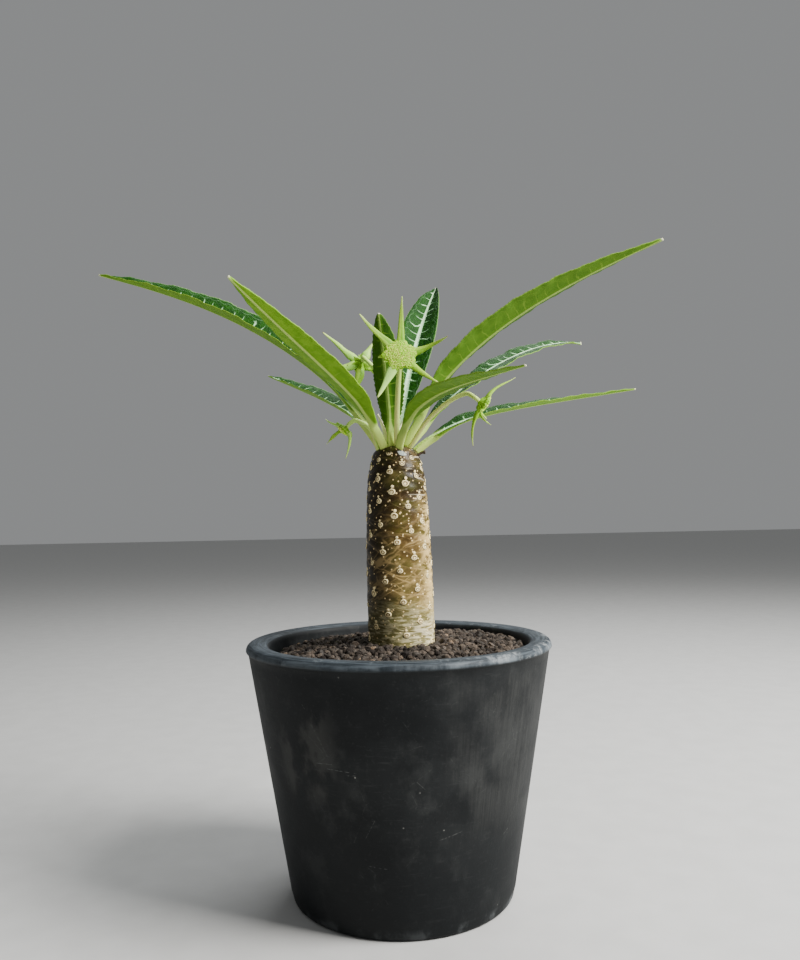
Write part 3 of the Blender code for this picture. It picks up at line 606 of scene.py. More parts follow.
def stem_skin():
    """Rings of the stem with its ridges and scars raised, and the marks that place its colours:
    millimetres from the nearest scar, across and up, and the scar's own random number; then how
    surely that scar is the nearest."""
    heights, radii = stem_rows()
    theta = np.linspace(0, 2 * pi, STEM_SIDES, endpoint=False)
    height, angle = np.meshgrid(heights, theta, indexing="ij")
    radius = np.repeat(radii[:, None], STEM_SIDES, axis=1)
    drop = np.maximum(0, SCAR_TOP - height)
    growth = SCAR_STEP_GROWTH
    number = (-SCAR_STEP + np.sqrt(SCAR_STEP**2 + 4 * growth * drop)) / (2 * growth)
    bent = number + 1.1 * wander(angle, height, 3, 5, 260)
    turns = (angle - radians(SCAR_START_ANGLE)) / (2 * pi) + 0.006 * wander(angle, height, 4, 7, 500)
    by_five = 5 * turns - (5 * SCAR_TURN / 360 - 2) * bent
    by_three = (3 * SCAR_TURN / 360 - 1) * bent - 3 * turns
    on_stem = step_up(height, 0.0965, 0.0995) * (1 - step_up(height, 0.168, 0.1715))
    ridge = -(np.cos(2 * pi * by_five) + np.cos(2 * pi * by_three)) / 2
    height_out = RIDGE_HEIGHT * ridge * on_stem * 0.55

    nearest = np.full(height.shape, 1.0)
    second = np.full(height.shape, 1.0)
    from_scar = np.zeros((*height.shape, 3))
    draw = np.random.default_rng(21)
    mark_number = 0
    mark_height = SCAR_TOP
    while mark_height > SOIL_AT_STEM:
        bearing = radians(SCAR_START_ANGLE + SCAR_TURN * mark_number)
        dx = ((angle - bearing + pi) % (2 * pi) - pi) * radius
        dz = height - mark_height + 0.0002 * draw.normal()
        own = draw.uniform()
        size = (0.88 + 0.24 * own) * (1 if mark_height < SMALL_SCARS_ABOVE else 0.8)
        far = np.hypot(dx, dz)
        closer = far < nearest
        second = np.where(closer, nearest, np.minimum(second, far))
        nearest = np.where(closer, far, nearest)
        for part, value in enumerate((1000 * dx / size, 1000 * dz / size, own)):
            from_scar[..., part] = np.where(closer, value, from_scar[..., part])
        if mark_height < SCAR_HIGHEST:
            apart = np.hypot(dx / SCAR_WIDTH, dz / SCAR_TALL) / size
            hollow = 0.4 * (1 - step_up(apart, 0.1, 0.6))
            height_out += SCAR_RISE * (1 - step_up(apart, 0.70, 1.25)) * (1 - hollow)
            bud = np.hypot(dx, dz - BUD_LIFT * size) / BUD_RADIUS
            height_out += BUD_RISE * (1 - step_up(bud, 0.5, 1.4))
        mark_number += 1
        mark_height = SCAR_TOP - SCAR_STEP * mark_number - growth * mark_number**2
    inside = 1 - step_up(nearest / second, 0.80, 0.93)
    out = radius + height_out * np.clip(radius / 0.009, 0, 1)
    rings = np.stack([stem_axis_x(height) + out * np.cos(angle), out * np.sin(angle), height], axis=2)
    return rings, {"scar": from_scar, "inside": np.repeat(inside[..., None], 3, axis=2)}


def cracked_skin():
    """Glossy brown skin, darker at the left and paler at the right as partly painted shade and light, under
    pale wisps that thicken to paper at the soil, with cream scars, buds, dots and a whitish patch under the
    crown."""
    bark = Finish("stem skin", {
        "Roughness": 0.4, "Specular IOR Level": 0.15, "Coat Weight": 0.11, "Coat Roughness": 0.24})
    u, v, own = bark.mark("scar")
    inside, _, _ = bark.mark("inside")
    spot = bark.place()
    x, y, z = bark.parts(spot)
    bearing = bark.reckon("ARCTAN2", x, -y)
    round_mm = bearing * SKIN_RADIUS_MM
    up_mm = z * 1000
    age = z.fall(OLD_SKIN_HEIGHT, YOUNG_SKIN_HEIGHT)
    warp = bark.noise(bark.stretched(spot, (170, 170, 170)), 2) - 0.5
    wrinkle = bark.noise(bark.stretched(spot, (300, 300, 800)), 5, 0.6)
    creases = bark.noise(bark.stretched(spot, (170, 170, 1150)), 4, 0.6)
    mottle = bark.noise(bark.stretched(spot, (130, 130, 170)), 4, 0.6)
    haze = bark.noise(bark.stretched(spot, (95, 95, 150)), 5, 0.62)

    def wisps(slope, across, along, thin):
        """Thin pale lines in the skin that climb at a slope, fraying at their ends."""
        level = round_mm * (-sin(slope)) + up_mm * cos(slope) + warp * 2.4
        run = round_mm * cos(slope) + up_mm * sin(slope)
        field = bark.noise(bark.vector(run / along, level / across, slope * 9), 1, 0.4)
        near = abs(field - 0.5)
        return near.fall(thin * 0.2, thin) * 0.75 + near.fall(0.0, thin * 3) * 0.25

    lines = wisps(0.62, 3.8, 17.0, 0.042).most(wisps(-0.26, 4.0, 17.0, 0.034))
    lines = lines.most(wisps(0.42, 2.6, 13.0, 0.026) * 0.5)
    lines = lines * haze.rise(0.36, 0.60) * abs(bearing).fall(2.75, 3.05)
    # Painted light: the mask below marks the right side, where painted light brightens the veil, the right
    # edge and the pale foot.
    lit_side = bearing.within(-0.1, 0.9, 2.2, 2.9)
    veil_and_light = haze.rise(0.46, 0.72) * (0.08 + 0.40 * age.rise(0.2, 0.7)) * (0.35 + 0.65 * lit_side)
    patchy = (wrinkle * 0.5 + haze * 0.5 + lines * 0.12).rise(0.44, 0.60)
    right_edge_highlight = bearing.within(0.55, 1.35, 2.2, 2.9) * age.rise(0.0, 0.35) * patchy
    papery = age.rise(0.86, 0.985)
    fine_skin = (creases * 0.45 + wrinkle * 0.55).rise(0.46, 0.58)
    lit_pale_foot = age.rise(0.955, 0.998) * lit_side * creases.rise(0.40, 0.58)
    glints = creases.rise(0.58, 0.66) * bearing.within(0.05, 0.55, 1.9, 2.5) * z.rise(0.140, 0.158)

    flecks = 0
    for turn in (3.1, 12.9):
        fleck_u = u - ((own * turn).fraction() - 0.5) * 7.0
        fleck_v = v - ((own * (turn + 5.3)).fraction() - 0.5) * 7.0
        flecks = (fleck_u * fleck_u + fleck_v * fleck_v).fall(0.05, 0.15).most(flecks)
    dots = bark.add("TexVoronoi", {"voronoi_dimensions": "2D"}, {
        "Vector": bark.vector(round_mm / 3.7, up_mm / 3.3, 0.0), "Scale": 1.0, "Randomness": 0.8})
    dots = (dots + warp * 0.06).fall(0.060, 0.110) * abs(bearing).fall(3.08, 3.12)
    flecks = (flecks * inside).most(dots * 0.85)
    bud_u = u - (own - 0.5) * 0.7
    bud_v = v - 1000 * BUD_LIFT
    bud = (bud_u * bud_u + bud_v * bud_v).fall(0.22, 0.40)

    edge_noise = bark.noise(bark.vector(u * 0.9 + own * 40, v * 0.9, own * 17), 3) - 0.5
    apart = bark.reckon("SQRT", u * u / 1.56 + v * v / 1.14) + edge_noise * 0.55
    scar = apart.fall(0.96, 1.12) * inside * z.fall(0.1705, 0.1716)
    arc_gap = (u * (own - 0.5) + v * 0.6).rise(-0.9, 0.2)
    groove = abs(apart - 0.52).fall(0.09, 0.23) * (0.45 + 0.55 * arc_gap)
    scar_colour = bark.coats((1.0, 0.84, 0.46), [
        (groove, (0.165, 0.090, 0.028)),
        (apart.rise(0.98, 1.10) * 0.5, (0.45, 0.30, 0.13)),
    ])
    # A small whitish patch under the crown.
    drop_u = (x - 0.0028) / 0.0018
    drop_v = (z - 0.1708 + 0.25 * (x - 0.0030)) / 0.0009
    whitish_patch = (drop_u * drop_u + drop_v * drop_v + wrinkle * 2.2).fall(1.4, 2.2) * y.fall(-0.006, -0.004)

    brown = bark.mix(age.rise(0.0, 0.50), (0.0150, 0.0080, 0.0020), (0.086, 0.050, 0.0100))
    bark.feed("Base Color", bark.coats(brown, [
        (age.rise(0.42, 0.95), (0.150, 0.105, 0.030)),
        (mottle.rise(0.44, 0.64) * 0.55, (0.074, 0.074, 0.0085)),
        (mottle.fall(0.32, 0.46) * 0.45, (0.034, 0.017, 0.004)),
        (veil_and_light, (0.50, 0.34, 0.115)),
        # Painted shade, partly the skin's own colour: darker towards the left side.
        (x.fall(-0.0110, 0.0020) * (0.90 - 0.5 * age.rise(0.9, 1.0)), (0.0100, 0.0060, 0.0014)),
        # Painted highlight along the stem's right edge, over patchy pale skin.
        (right_edge_highlight * 0.85, (0.95, 0.69, 0.28)),
        (lines * (0.10 + 0.44 * age.rise(0.15, 0.6) - 0.26 * age.rise(0.85, 0.95)), (0.64, 0.44, 0.18)),
        (papery * 0.70, (0.180, 0.172, 0.060)),
        (papery * fine_skin * 0.75, (0.68, 0.60, 0.35)),
        (lit_pale_foot * 0.8, (0.86, 0.76, 0.50)),
        # More painted shade towards the left side.
        (x.fall(-0.0125, 0.0010) * 0.60, (0.0130, 0.0080, 0.0014)),
        (glints * 0.6, (0.70, 0.62, 0.46)),
        (flecks * 0.92, (1.0, 0.74, 0.36)),
        (bud * inside * z.fall(0.1685, 0.1700), (1.0, 0.82, 0.44)),
        (scar, scar_colour),
        (whitish_patch * 0.80, (0.60, 0.68, 0.64)),
    ]))
    bark.feed("Roughness", 0.34 + 0.24 * scar + 0.24 * papery + 0.10 * wrinkle)
    raised = wrinkle * 0.35 + creases * 0.30 + mottle * 0.4 + lines * 0.35
    raised = raised + scar * 0.5 + bud * 0.5 + flecks * 0.35 - scar * groove * 0.5
    bark.relief(raised, 0.00024)
    return bark


stem_rings, stem_marks = stem_skin()
add_piece("stem_skin", lofted("stem", stem_rings, stem_marks), [cracked_skin()], "stem")


# The leaves: each is one soft piece, a pale grooved stalk that runs out as the rib of a long blade
# folded along it. Above it is dark green with mint-white veins, below a bright yellow green.
BLADE_THICKNESS = 0.0006
BLADE_START = 0.15
BLADE_BELLY = 0.035
TIP_HALF_WIDTH = 0.00035
STALK_HALF_WIDTH = 0.00135
STALK_DEPTH = 0.0016
STALK_GROOVE = 0.00035
RIB_DEPTH = 0.0009
RIB_ROUNDING = 0.012
LEAF_STEP = 0.00044
LEAF_COLUMNS = 19
ROOT_SINK = 0.0013
ROOT_CLEARANCE = 1.2 * GAP
SEAT_STEP = 0.00005
TOOTH_SPACING = 0.00170
WAVE_LENGTH = 0.019
CRINKLE = 0.00011
VEIN_SPACING_MM = 4.7

# What most leaves share: how much of the length is stalk, half the stalk's width, the depth of the
# teeth, how blunt the tip is, and how shaded its underside looks.
PLAIN_LEAF = dict(stalk=0.10, stalk_half=STALK_HALF_WIDTH, tooth=0.00028, blunt=0.8, shade=0.0)
# Angles are degrees: heading from +X, rise above level, fold of each half, roll about the rib.
LEAVES = {
    "leaf_far_left": dict(
        root=(-0.0056, 0.0006), heading=176, turn=2, rise=(58, 16), early=1.55, length=0.141,
        width=0.0170, widest=0.47, fold=30, roll=(-26, -20), wave=0.0004, tooth=0.00055, shade=0.30),
    "leaf_left_front": dict(
        root=(-0.0039, -0.0046), heading=226, turn=10, rise=(60, 27), early=4.8, length=0.0960,
        width=0.0151, widest=0.32, fold=10, roll=(-13, 13), wave=0.0002),
    "leaf_low_left": dict(
        root=(-0.0046, 0.0044), heading=142, turn=-3, rise=(48, 22), early=3.1, length=0.0793,
        width=0.0156, widest=0.39, fold=19, roll=(2, -6), wave=0.0003),
    "leaf_upright_front": dict(
        root=(-0.0014, -0.0026), heading=254, turn=1, rise=(83, 69), early=2.0, length=0.0521,
        width=0.0147, widest=0.46, fold=32, roll=(-2, -1), wave=0.0002, tooth=0.00085, blunt=0.60,
        shade=1.0),
    "leaf_upright_back": dict(
        root=(0.0008, 0.0034), heading=68, turn=-4, rise=(68, 47), early=1.0, length=0.0907,
        width=0.0168, widest=0.56, fold=28, roll=(54, 6), wave=0.0004, blunt=0.70),
    "leaf_far_right": dict(
        root=(0.0040, 0.0006), heading=352, turn=-1, rise=(65, 22), early=1.95, length=0.1319,
        width=0.0164, widest=0.36, fold=22, roll=(-18, -19), wave=0.0003, shade=0.78),
    "leaf_right_back": dict(
        root=(0.0046, 0.0046), heading=34, turn=0, rise=(45, -4), early=0.6, length=0.1186,
        width=0.0142, widest=0.43, fold=9, roll=(-3, 27), wave=0.0006, tooth=0.00045, shade=0.08),
    "leaf_right_front": dict(
        root=(0.0016, -0.0062), heading=310, turn=1, rise=(75, 4), early=3.8, length=0.0742,
        width=0.0151, widest=0.46, fold=9, roll=(-5, 4), wave=0.0002, shade=0.70),
    "leaf_low_right": dict(
        root=(0.0086, 0.0000), heading=10, turn=-9, rise=(42, 8), early=4.3, length=0.0965,
        width=0.0160, widest=0.28, fold=12, roll=(18, 2), wave=0.0003),
}


def seated(section, along):
    """How far to slide a root section along its stalk so that it just clears the crown."""
    slide = -0.004
    while any(p[2] + slide * along[2] < ROOT_CLEARANCE + crown_height(
            hypot(p[0] + slide * along[0] - STEM_TOP_X, p[1] + slide * along[1])) for p in section):
        slide += SEAT_STEP
    return along * slide


def leaf_frame(leaf, s):
    """Direction, side and upper normal of a leaf at share s of its length."""
    first, last = leaf["rise"]
    rise = radians(last + (first - last) * (1 - s) ** leaf["early"])
    heading = radians(leaf["heading"] + leaf["turn"] * s)
    roll = radians(leaf["roll"][0] + (leaf["roll"][1] - leaf["roll"][0]) * s)
    ahead = np.array((cos(rise) * cos(heading), cos(rise) * sin(heading), sin(rise)))
    side = np.array((-sin(heading), cos(heading), 0))
    above = np.cross(ahead, side)
    return ahead, side * cos(roll) + above * sin(roll), above * cos(roll) - side * sin(roll)


def blade_half_width(leaf, s):
    """Half the blade's width: a long lens that swells from the stalk and ends in a point."""
    t = min(max((s - leaf["stalk"]) / (1 - leaf["stalk"]), 0.0), 1.0)
    swell = sin(pi * t ** (log(0.5) / log(leaf["widest"])))
    return leaf["width"] / 2 * swell ** leaf["blunt"] * (0.70 + 0.30 * float(step_up(t, 0.0, 0.19)))


def leaf_skin(leaf, seed):
    """Rings of a leaf, its top then its underside, and marks: share across, share along and own
    shade; then millimetres across and along."""
    draw = np.random.default_rng(seed)
    length = leaf["length"]
    rings = max(24, round(length / LEAF_STEP))
    scale = leaf["stalk_half"] / STALK_HALF_WIDTH
    lane = np.linspace(-1, 1, LEAF_COLUMNS)
    lane = np.sign(lane) * np.abs(lane) ** 1.15
    both = np.concatenate([lane, lane[::-1]])
    place = np.array((*leaf["root"], crown_height(hypot(*leaf["root"])) + GAP + STALK_DEPTH))
    teeth = [np.cumsum(draw.uniform(0.6, 1.4, 200)) * TOOTH_SPACING for _ in range(2)]
    points, blade_marks, lay_marks = [], [], []
    for ring in range(rings + 1):
        s = ring / rings
        ahead, side, above = leaf_frame(leaf, s)
        leafy = min(max((s - leaf["stalk"]) / BLADE_START, 0.0), 1.0)
        half = sqrt(blade_half_width(leaf, s)**2 + leaf["stalk_half"]**2 * (1 - s) + TIP_HALF_WIDTH**2)
        edge = np.full(LEAF_COLUMNS, half)
        for direction, row in ((-1, teeth[0]), (1, teeth[1])):
            k = int(np.searchsorted(row, s * length))
            start = row[k - 1] if k else 0.0
            share = (s * length - start) / (row[k] - start)
            nick = leaf["tooth"] * leafy * (1 - s) ** 0.35 * (share**1.5 - 0.55)
            edge[np.sign(lane) == direction] += nick * np.abs(lane[np.sign(lane) == direction]) ** 6
        fold = radians(leaf["fold"]) * leafy
        rounding = sqrt(RIB_ROUNDING)
        rise = (np.sqrt(lane**2 + RIB_ROUNDING) - rounding) / (sqrt(1 + RIB_ROUNDING) - rounding)
        across = lane * edge * cos(fold)
        lifted = rise * edge * sin(fold) + BLADE_BELLY * leafy * edge * np.sin(pi * np.abs(lane))
        lifted -= STALK_GROOVE * scale * (1 - leafy) * (1 - lane**2)
        lifted += lane * 0.6 * leaf["wave"] * leafy * sin(2 * pi * s * length / WAVE_LENGTH)
        crinkle = np.sin(s * length / 0.00095 + lane * 2.1 + seed)
        crinkle += 0.7 * np.sin(s * length / 0.0016 - lane * 3 + seed)
        lifted += np.abs(lane) ** 2 * CRINKLE * leafy * crinkle
        depth = BLADE_THICKNESS / cos(fold) * (0.9 - 0.45 * lane**4)
        stalk_round = (1 - leafy) ** 2 * np.sqrt(1 - lane**2 * 0.98)
        depth += (STALK_DEPTH * scale - BLADE_THICKNESS * 0.5) * stalk_round
        rib_half = (0.0013 - 0.0009 * s) * scale
        depth += RIB_DEPTH * scale * (1 - s) * (1 - 0.5 * leafy) * np.exp(-((across / rib_half) ** 2))
        top = place + across[:, None] * side + lifted[:, None] * above
        under = top - depth[:, None] * above
        points.append(np.vstack([top, under[::-1]]))
        even = np.ones(2 * LEAF_COLUMNS)
        blade_marks.append(np.stack([both, s * even, leaf["shade"] * even], axis=1))
        from_rib = np.concatenate([across, across[::-1]])
        lay_marks.append(1000 * np.stack([from_rib, s * length * even, 0 * even], axis=1))
        place = place + leaf_frame(leaf, min(s + 0.5 / rings, 1.0))[0] * length / rings
    ahead = leaf_frame(leaf, 0)[0]
    shift = seated(points[0], ahead)
    points = [p + shift for p in points]
    points.insert(0, points[0] - ahead * ROOT_SINK)
    blade_marks.insert(0, blade_marks[0])
    lay_marks.insert(0, lay_marks[0])
    return points, {"blade": blade_marks, "lay": lay_marks}


def veins(finish, lane, s, x, y):
    """How far a point is on a side vein, or on the loops that join them near the margin, its
    distance from the fine net's lines, and the slow drift that keeps the veins uneven."""
    out = abs(x)
    drift = finish.noise(finish.vector(x * 0.10, y * 0.13, 0.0), 2) - 0.5
    fine_drift = finish.noise(finish.vector(x * 0.7, y * 0.7, 3.0), 2) - 0.5
    side_shift = finish.reckon("SIGN", x) * 0.21
    bow = out * 0.20 - out * out * out * 0.0095
    place = (y + bow) / VEIN_SPACING_MM + side_shift + drift * 1.5 + fine_drift * 0.16
    width = 0.080 - 0.062 * abs(lane)
    lateral = abs(place.fraction() - 0.5).fall(width * 0.40, width) * s.rise(0.10, 0.18)
    wave = finish.reckon("COSINE", place * (2 * pi))
    loop = abs(abs(lane) - 0.78 - wave * 0.06).fall(0.006, 0.028) * s.rise(0.14, 0.2)
    cell = finish.cells(finish.vector(x * 0.95 + drift, y * 0.80 - out * 0.3, 0.0))
    return lateral, loop, cell, drift


def dark_upper_side():
    """Dark green, with a mint-white band along the rib and short veins that leave it."""
    upper = Finish("leaf upper side", {"Roughness": 0.5, "Specular IOR Level": 0.09})
    lane, s, shade = upper.mark("blade")
    x, y, _ = upper.mark("lay")
    lateral, loop, cell, drift = veins(upper, lane, s, x, y)
    cloud = upper.noise(upper.vector(x * 0.5, y * 0.35, 0.0), 4, 0.6)
    grain = upper.noise(upper.vector(x * 4.0, y * 4.0, 0.0), 3)
    lateral = lateral * (abs(lane) / (0.72 + drift * 0.9 - 0.12 * s)).fall(0.55, 1.05)
    band = (1.25 * (1 - s) ** 0.7 + 0.16) * (1 - 0.38 * shade.rise(0.02, 0.06))
    ribbon = (abs(x) - lateral * 0.55 - (grain - 0.5) * 0.25) / band
    pale = ribbon.fall(0.70, 1.15).most(lateral * 0.9).most(loop * 0.12)
    pale = pale * (1 - shade.rise(0.1, 0.2) * s.fall(0.26, 0.44))
    green = upper.mix(cloud.rise(0.35, 0.68), (0.0036, 0.038, 0.0012), (0.0110, 0.074, 0.0026))
    upper.feed("Base Color", upper.coats(green, [
        (cell.fall(0.02, 0.10) * 0.12, (0.022, 0.120, 0.008)),
        (pale, (0.46, 0.80, 0.44)),
        (ribbon.fall(0.0, 0.8) * pale * 0.75, (0.70, 0.95, 0.62)),
        (abs(lane).rise(0.955, 0.985) * s.rise(0.14, 0.22) * 0.65, (0.26, 0.46, 0.14)),
        ((s + abs(lane) * 0.05).fall(0.08, 0.19), (0.46, 0.64, 0.13)),
        (s.rise(0.992, 0.998), (0.60, 0.62, 0.42)),
    ]))
    upper.feed("Roughness", 0.50 + 0.12 * pale + 0.10 * grain)
    upper.relief(cell.rise(0.0, 0.22) * 0.45 - lateral * 0.5 + grain * 0.12, 0.00020)
    return upper


def bright_underside():
    """Yellow green, darker on shaded leaves, with a pale raised rib and a cream stalk."""
    under = Finish("leaf underside", {"Roughness": 0.58, "Specular IOR Level": 0.10})
    lane, s, shade = under.mark("blade")
    x, y, _ = under.mark("lay")
    lateral, loop, cell, _ = veins(under, lane, s, x, y)
    cloud = under.noise(under.vector(x * 0.35, y * 0.20, 0.0), 3, 0.5)
    from_rib = abs(x) / (0.42 + 0.72 * (1 - s) + 2.4 * s.fall(0.02, 0.20))
    green = under.mix(cloud.rise(0.35, 0.65), (0.135, 0.320, 0.0085), (0.195, 0.405, 0.0150))
    shaded = under.mix(shade.rise(0.55, 1.0), (0.070, 0.150, 0.022), (0.012, 0.056, 0.0006))
    stalk_side = s.fall(0.08, 0.22) * 0.5 * abs(lane).fall(0.3, 0.9) * (1 - 0.6 * shade)
    under.feed("Base Color", under.coats(green, [
        (shade * (0.80 + 0.18 * lane.rise(-0.1, 0.1)), shaded),
        (cell.fall(0.01, 0.10) * 0.10, (0.09, 0.225, 0.012)),
        (lateral * 0.28 * (abs(lane) / 0.8).fall(0.5, 1.0) + loop * 0.10, (0.32, 0.50, 0.05)),
        # A painted shadow beside the raised rib.
        (from_rib.within(0.9, 1.3, 1.3, 2.6) * 0.35, (0.10, 0.24, 0.004)),
        (from_rib.fall(0.70, 1.12) * (0.92 - 0.45 * shade), (0.48, 0.66, 0.15)),
        (stalk_side, (0.38, 0.52, 0.08)),
        (abs(lane).rise(0.96, 0.99) * s.rise(0.14, 0.22) * 0.35, (0.33, 0.50, 0.08)),
        ((s + abs(lane) * 0.06).fall(0.05, 0.16) * 0.85, (0.58, 0.72, 0.16)),
        (s.rise(0.992, 0.998), (0.66, 0.66, 0.45)),
    ]))
    return under


leaf_finishes = [bright_underside(), dark_upper_side()]
for seed, (name, leaf) in enumerate(LEAVES.items()):
    rings, marks = leaf_skin(PLAIN_LEAF | leaf, seed)
    skin = lofted(name, rings, marks, upper_columns=LEAF_COLUMNS - 1)
    add_piece(name + "_blade", skin, leaf_finishes, name)


# The young leaves: three cream shoots, still rolled and thick. They have just left the crown and
# stand between the old stalks.
YOUNG_FORM = PLAIN_LEAF | dict(
    turn=0, early=1.0, widest=0.42, fold=25, roll=(0, 0), wave=0.0, stalk=0.0, stalk_half=0.0007,
    tooth=0.0)
YOUNG_LEAVES = {
    "young_leaf_tall": dict(
        root=(-0.0031, 0.0009), heading=172, rise=(80, 68), length=0.0135, width=0.0040),
    "young_leaf_left": dict(
        root=(-0.0015, -0.0009), heading=185, rise=(80, 66), length=0.0094, width=0.0024),
    "young_leaf_right": dict(
        root=(0.0016, -0.0002), heading=340, rise=(80, 74), length=0.0100, width=0.0032),
}


def young_cream():
    """Cream, yellower at the root, with a little tan along the margins."""
    cream = Finish("young leaf", {"Roughness": 0.45})
    lane, s, _ = cream.mark("blade")
    soft = cream.noise(cream.stretched(cream.place(), (700, 700, 300)), 3)
    cream.feed("Base Color", cream.coats((0.84, 0.86, 0.42), [
        (s, (1.0, 0.97, 0.68)),
        (abs(lane).rise(0.55, 0.95) * soft.rise(0.4, 0.6) * 0.35, (0.62, 0.42, 0.24)),
    ]))
    cream.relief(soft, 0.0001)
    return cream


shoot_finish = young_cream()
for seed, (name, leaf) in enumerate(YOUNG_LEAVES.items(), start=20):
    rings, marks = leaf_skin(YOUNG_FORM | leaf, seed)
    add_piece(name + "_shoot", lofted(name, rings, marks), [shoot_finish], name)


# The flower stalks: round and thin, pale green with a little tan, greenest on the side towards the
# light. Each grows from the crown and bends to hold its head.
FUNNEL_DEPTH = 0.6
NECK_CLEARANCE = 1.6 * GAP
STALK_SIDES = 16
STALK_POINTS = 70
STALK_SINK = 0.0012
# A bract is the place of its tip from the head's centre; its arm tells how broad it is, how mint,
# and how far its tip hooks up.
FLOWERS = {
    "front": dict(
        centre=(0.0028, -0.0200, 0.2075), facing=(0.05, -0.97, 0.20), radius=0.0056,
        bracts=[(0.0011, -0.001, 0.0223), (0.0179, -0.004, 0.0060), (0.0146, -0.006, -0.0122),
                (-0.0089, -0.004, -0.0167), (-0.0152, -0.001, 0.0158), (-0.0085, 0.002, -0.0005)],
        stalk=[(0.0007, -0.0045), (0.0012, -0.0105, 0.1880), (0.0021, -0.0145, 0.2010)],
        stalk_radius=0.0009, waist=0.95, bow=0.55,
        arms=[(1.20, 0, 0), (1.15, 0, 0), (1.15, 0, 0), (1.55, 0.7, 0), (1.30, 0.1, 0), (1.20, 0, 0)]),
    "back_left": dict(
        centre=(-0.0138, 0.0150, 0.2107), facing=(-0.35, 0.88, -0.30), radius=0.0050,
        bracts=[(-0.0155, -0.003, 0.0132), (0.0053, 0.004, 0.0095), (-0.0150, -0.001, -0.0050),
                (-0.0044, -0.001, -0.0170), (0.0055, 0.004, -0.0040)],
        stalk=[(-0.0020, 0.0028), (-0.0029, 0.0068, 0.1900), (-0.0056, 0.0092, 0.2040)],
        stalk_radius=0.0008, waist=0.62, bow=0.45,
        arms=[(1.35, 0.3, 0), (1.50, 0.35, 0), (1.50, 0.3, 0), (1.50, 0, 0), (1.20, 0, 0)]),
    "right": dict(
        centre=(0.0342, -0.0190, 0.1880), facing=(0.78, 0.20, -0.58), radius=0.0041,
        bracts=[(0.0126, 0.002, 0.0105), (-0.0047, -0.003, -0.0162), (0.0025, -0.001, -0.0080),
                (0.0020, 0.009, -0.0045)],
        stalk=[(0.0058, -0.0040), (0.0130, -0.0090, 0.1835), (0.0210, -0.0130, 0.1900),
               (0.0275, -0.0165, 0.1926)],
        stalk_radius=0.0008, waist=0.80, bow=0.50,
        arms=[(1.05, 0, 0.0018), (1.15, 0, 0), (0.95, 0, 0), (0.90, 0, 0)]),
    "left": dict(
        centre=(-0.0200, -0.0075, 0.1805), facing=(-0.68, -0.15, -0.72), radius=0.0031,
        bracts=[(-0.0072, 0.000, 0.0047), (-0.0070, 0.002, -0.0052), (0.0006, -0.001, -0.0114),
                (0.0010, 0.006, -0.0015)],
        stalk=[(-0.0066, -0.0028), (-0.0095, -0.0052, 0.1812), (-0.0148, -0.0067, 0.1842)],
        stalk_radius=0.0008, waist=0.72, bow=0.25,
        arms=[(1.35, 0.40, 0.0030), (1.40, 0, 0), (1.50, 0.25, 0), (0.9, 0, 0)]),
}


def unit(vector):
    vector = np.asarray(vector, float)
    return vector / np.linalg.norm(vector)


def crosswise(ahead, hint=(0.0, 0.0, 1.0)):
    """Two directions square to ahead and to each other."""
    level = np.cross(hint, ahead)
    if np.linalg.norm(level) < 1e-6:
        level = np.cross((1.0, 0.0, 0.0), ahead)
    level = unit(level)
    return level, np.cross(ahead, level)


def root_rim(place, way, radius, sides):
    """Points round the end of a stalk that leaves the crown this way."""
    level, proud = crosswise(way)
    return [place + (level * cos(a) + proud * sin(a)) * radius
            for a in np.linspace(0, 2 * pi, sides, endpoint=False)]


def tube(path, radii, sides, flat=1.0, hint=(0.0, 0.0, 1.0)):
    """Rings round a path, and marks: the share along, then the cosine and sine of the turn. flat
    narrows the rings along the hint."""
    rings, marks = [], []
    angles = np.linspace(0, 2 * pi, sides, endpoint=False)
    run = np.concatenate([[0], np.cumsum(np.linalg.norm(np.diff(path, axis=0), axis=1))])
    for i, place in enumerate(path):
        ahead = unit(path[min(i + 1, len(path) - 1)] - path[max(i - 1, 0)])
        level, proud = crosswise(ahead, hint)
        spoke = np.cos(angles)[:, None] * level + flat * np.sin(angles)[:, None] * proud
        rings.append(place + radii[i] * spoke)
        marks.append(np.stack([np.full(sides, run[i] / run[-1]), np.cos(angles), np.sin(angles)], axis=1))
    return np.array(rings), np.array(marks)


def stalk_path(flower):
    """The stalk's middle line, from inside the crown to the neck of the head."""
    facing = unit(flower["facing"])
    neck = np.array(flower["centre"]) - facing * (FUNNEL_DEPTH * flower["radius"] + NECK_CLEARANCE)
    x, y = flower["stalk"][0]
    first = np.array((x, y, crown_height(hypot(x - STEM_TOP_X, y))))
    rest = [np.array(p) for p in flower["stalk"][1:]]
    way = unit(rest[0] - first)
    first = first + seated(root_rim(first, way, flower["stalk_radius"] * 1.15, 8), way)
    line = [first, first + way * 0.002, *rest, neck - facing * 0.0016, neck, neck + facing * 0.0009]
    return np.vstack([first - way * STALK_SINK, smooth_path(line, STALK_POINTS)])


def pale_stalk():
    """Pale yellow green, greener on one side, flecked with tan."""
    flesh = Finish("flower stalk", {"Roughness": 0.45, "Coat Weight": 0.1})
    share, turn_x, _ = flesh.mark("along")
    soft = flesh.noise(flesh.stretched(flesh.place(), (600, 600, 180)), 3)
    flesh.feed("Base Color", flesh.coats((0.60, 0.64, 0.16), [
        (share.rise(0.35, 1.0), (0.48, 0.66, 0.12)),
        (turn_x.rise(-0.4, 0.9) * 0.65, (0.50, 0.80, 0.15)),
        (soft.rise(0.45, 0.65) * 0.15, (0.66, 0.46, 0.22)),
    ]))
    flesh.relief(soft, 0.0001)
    return flesh


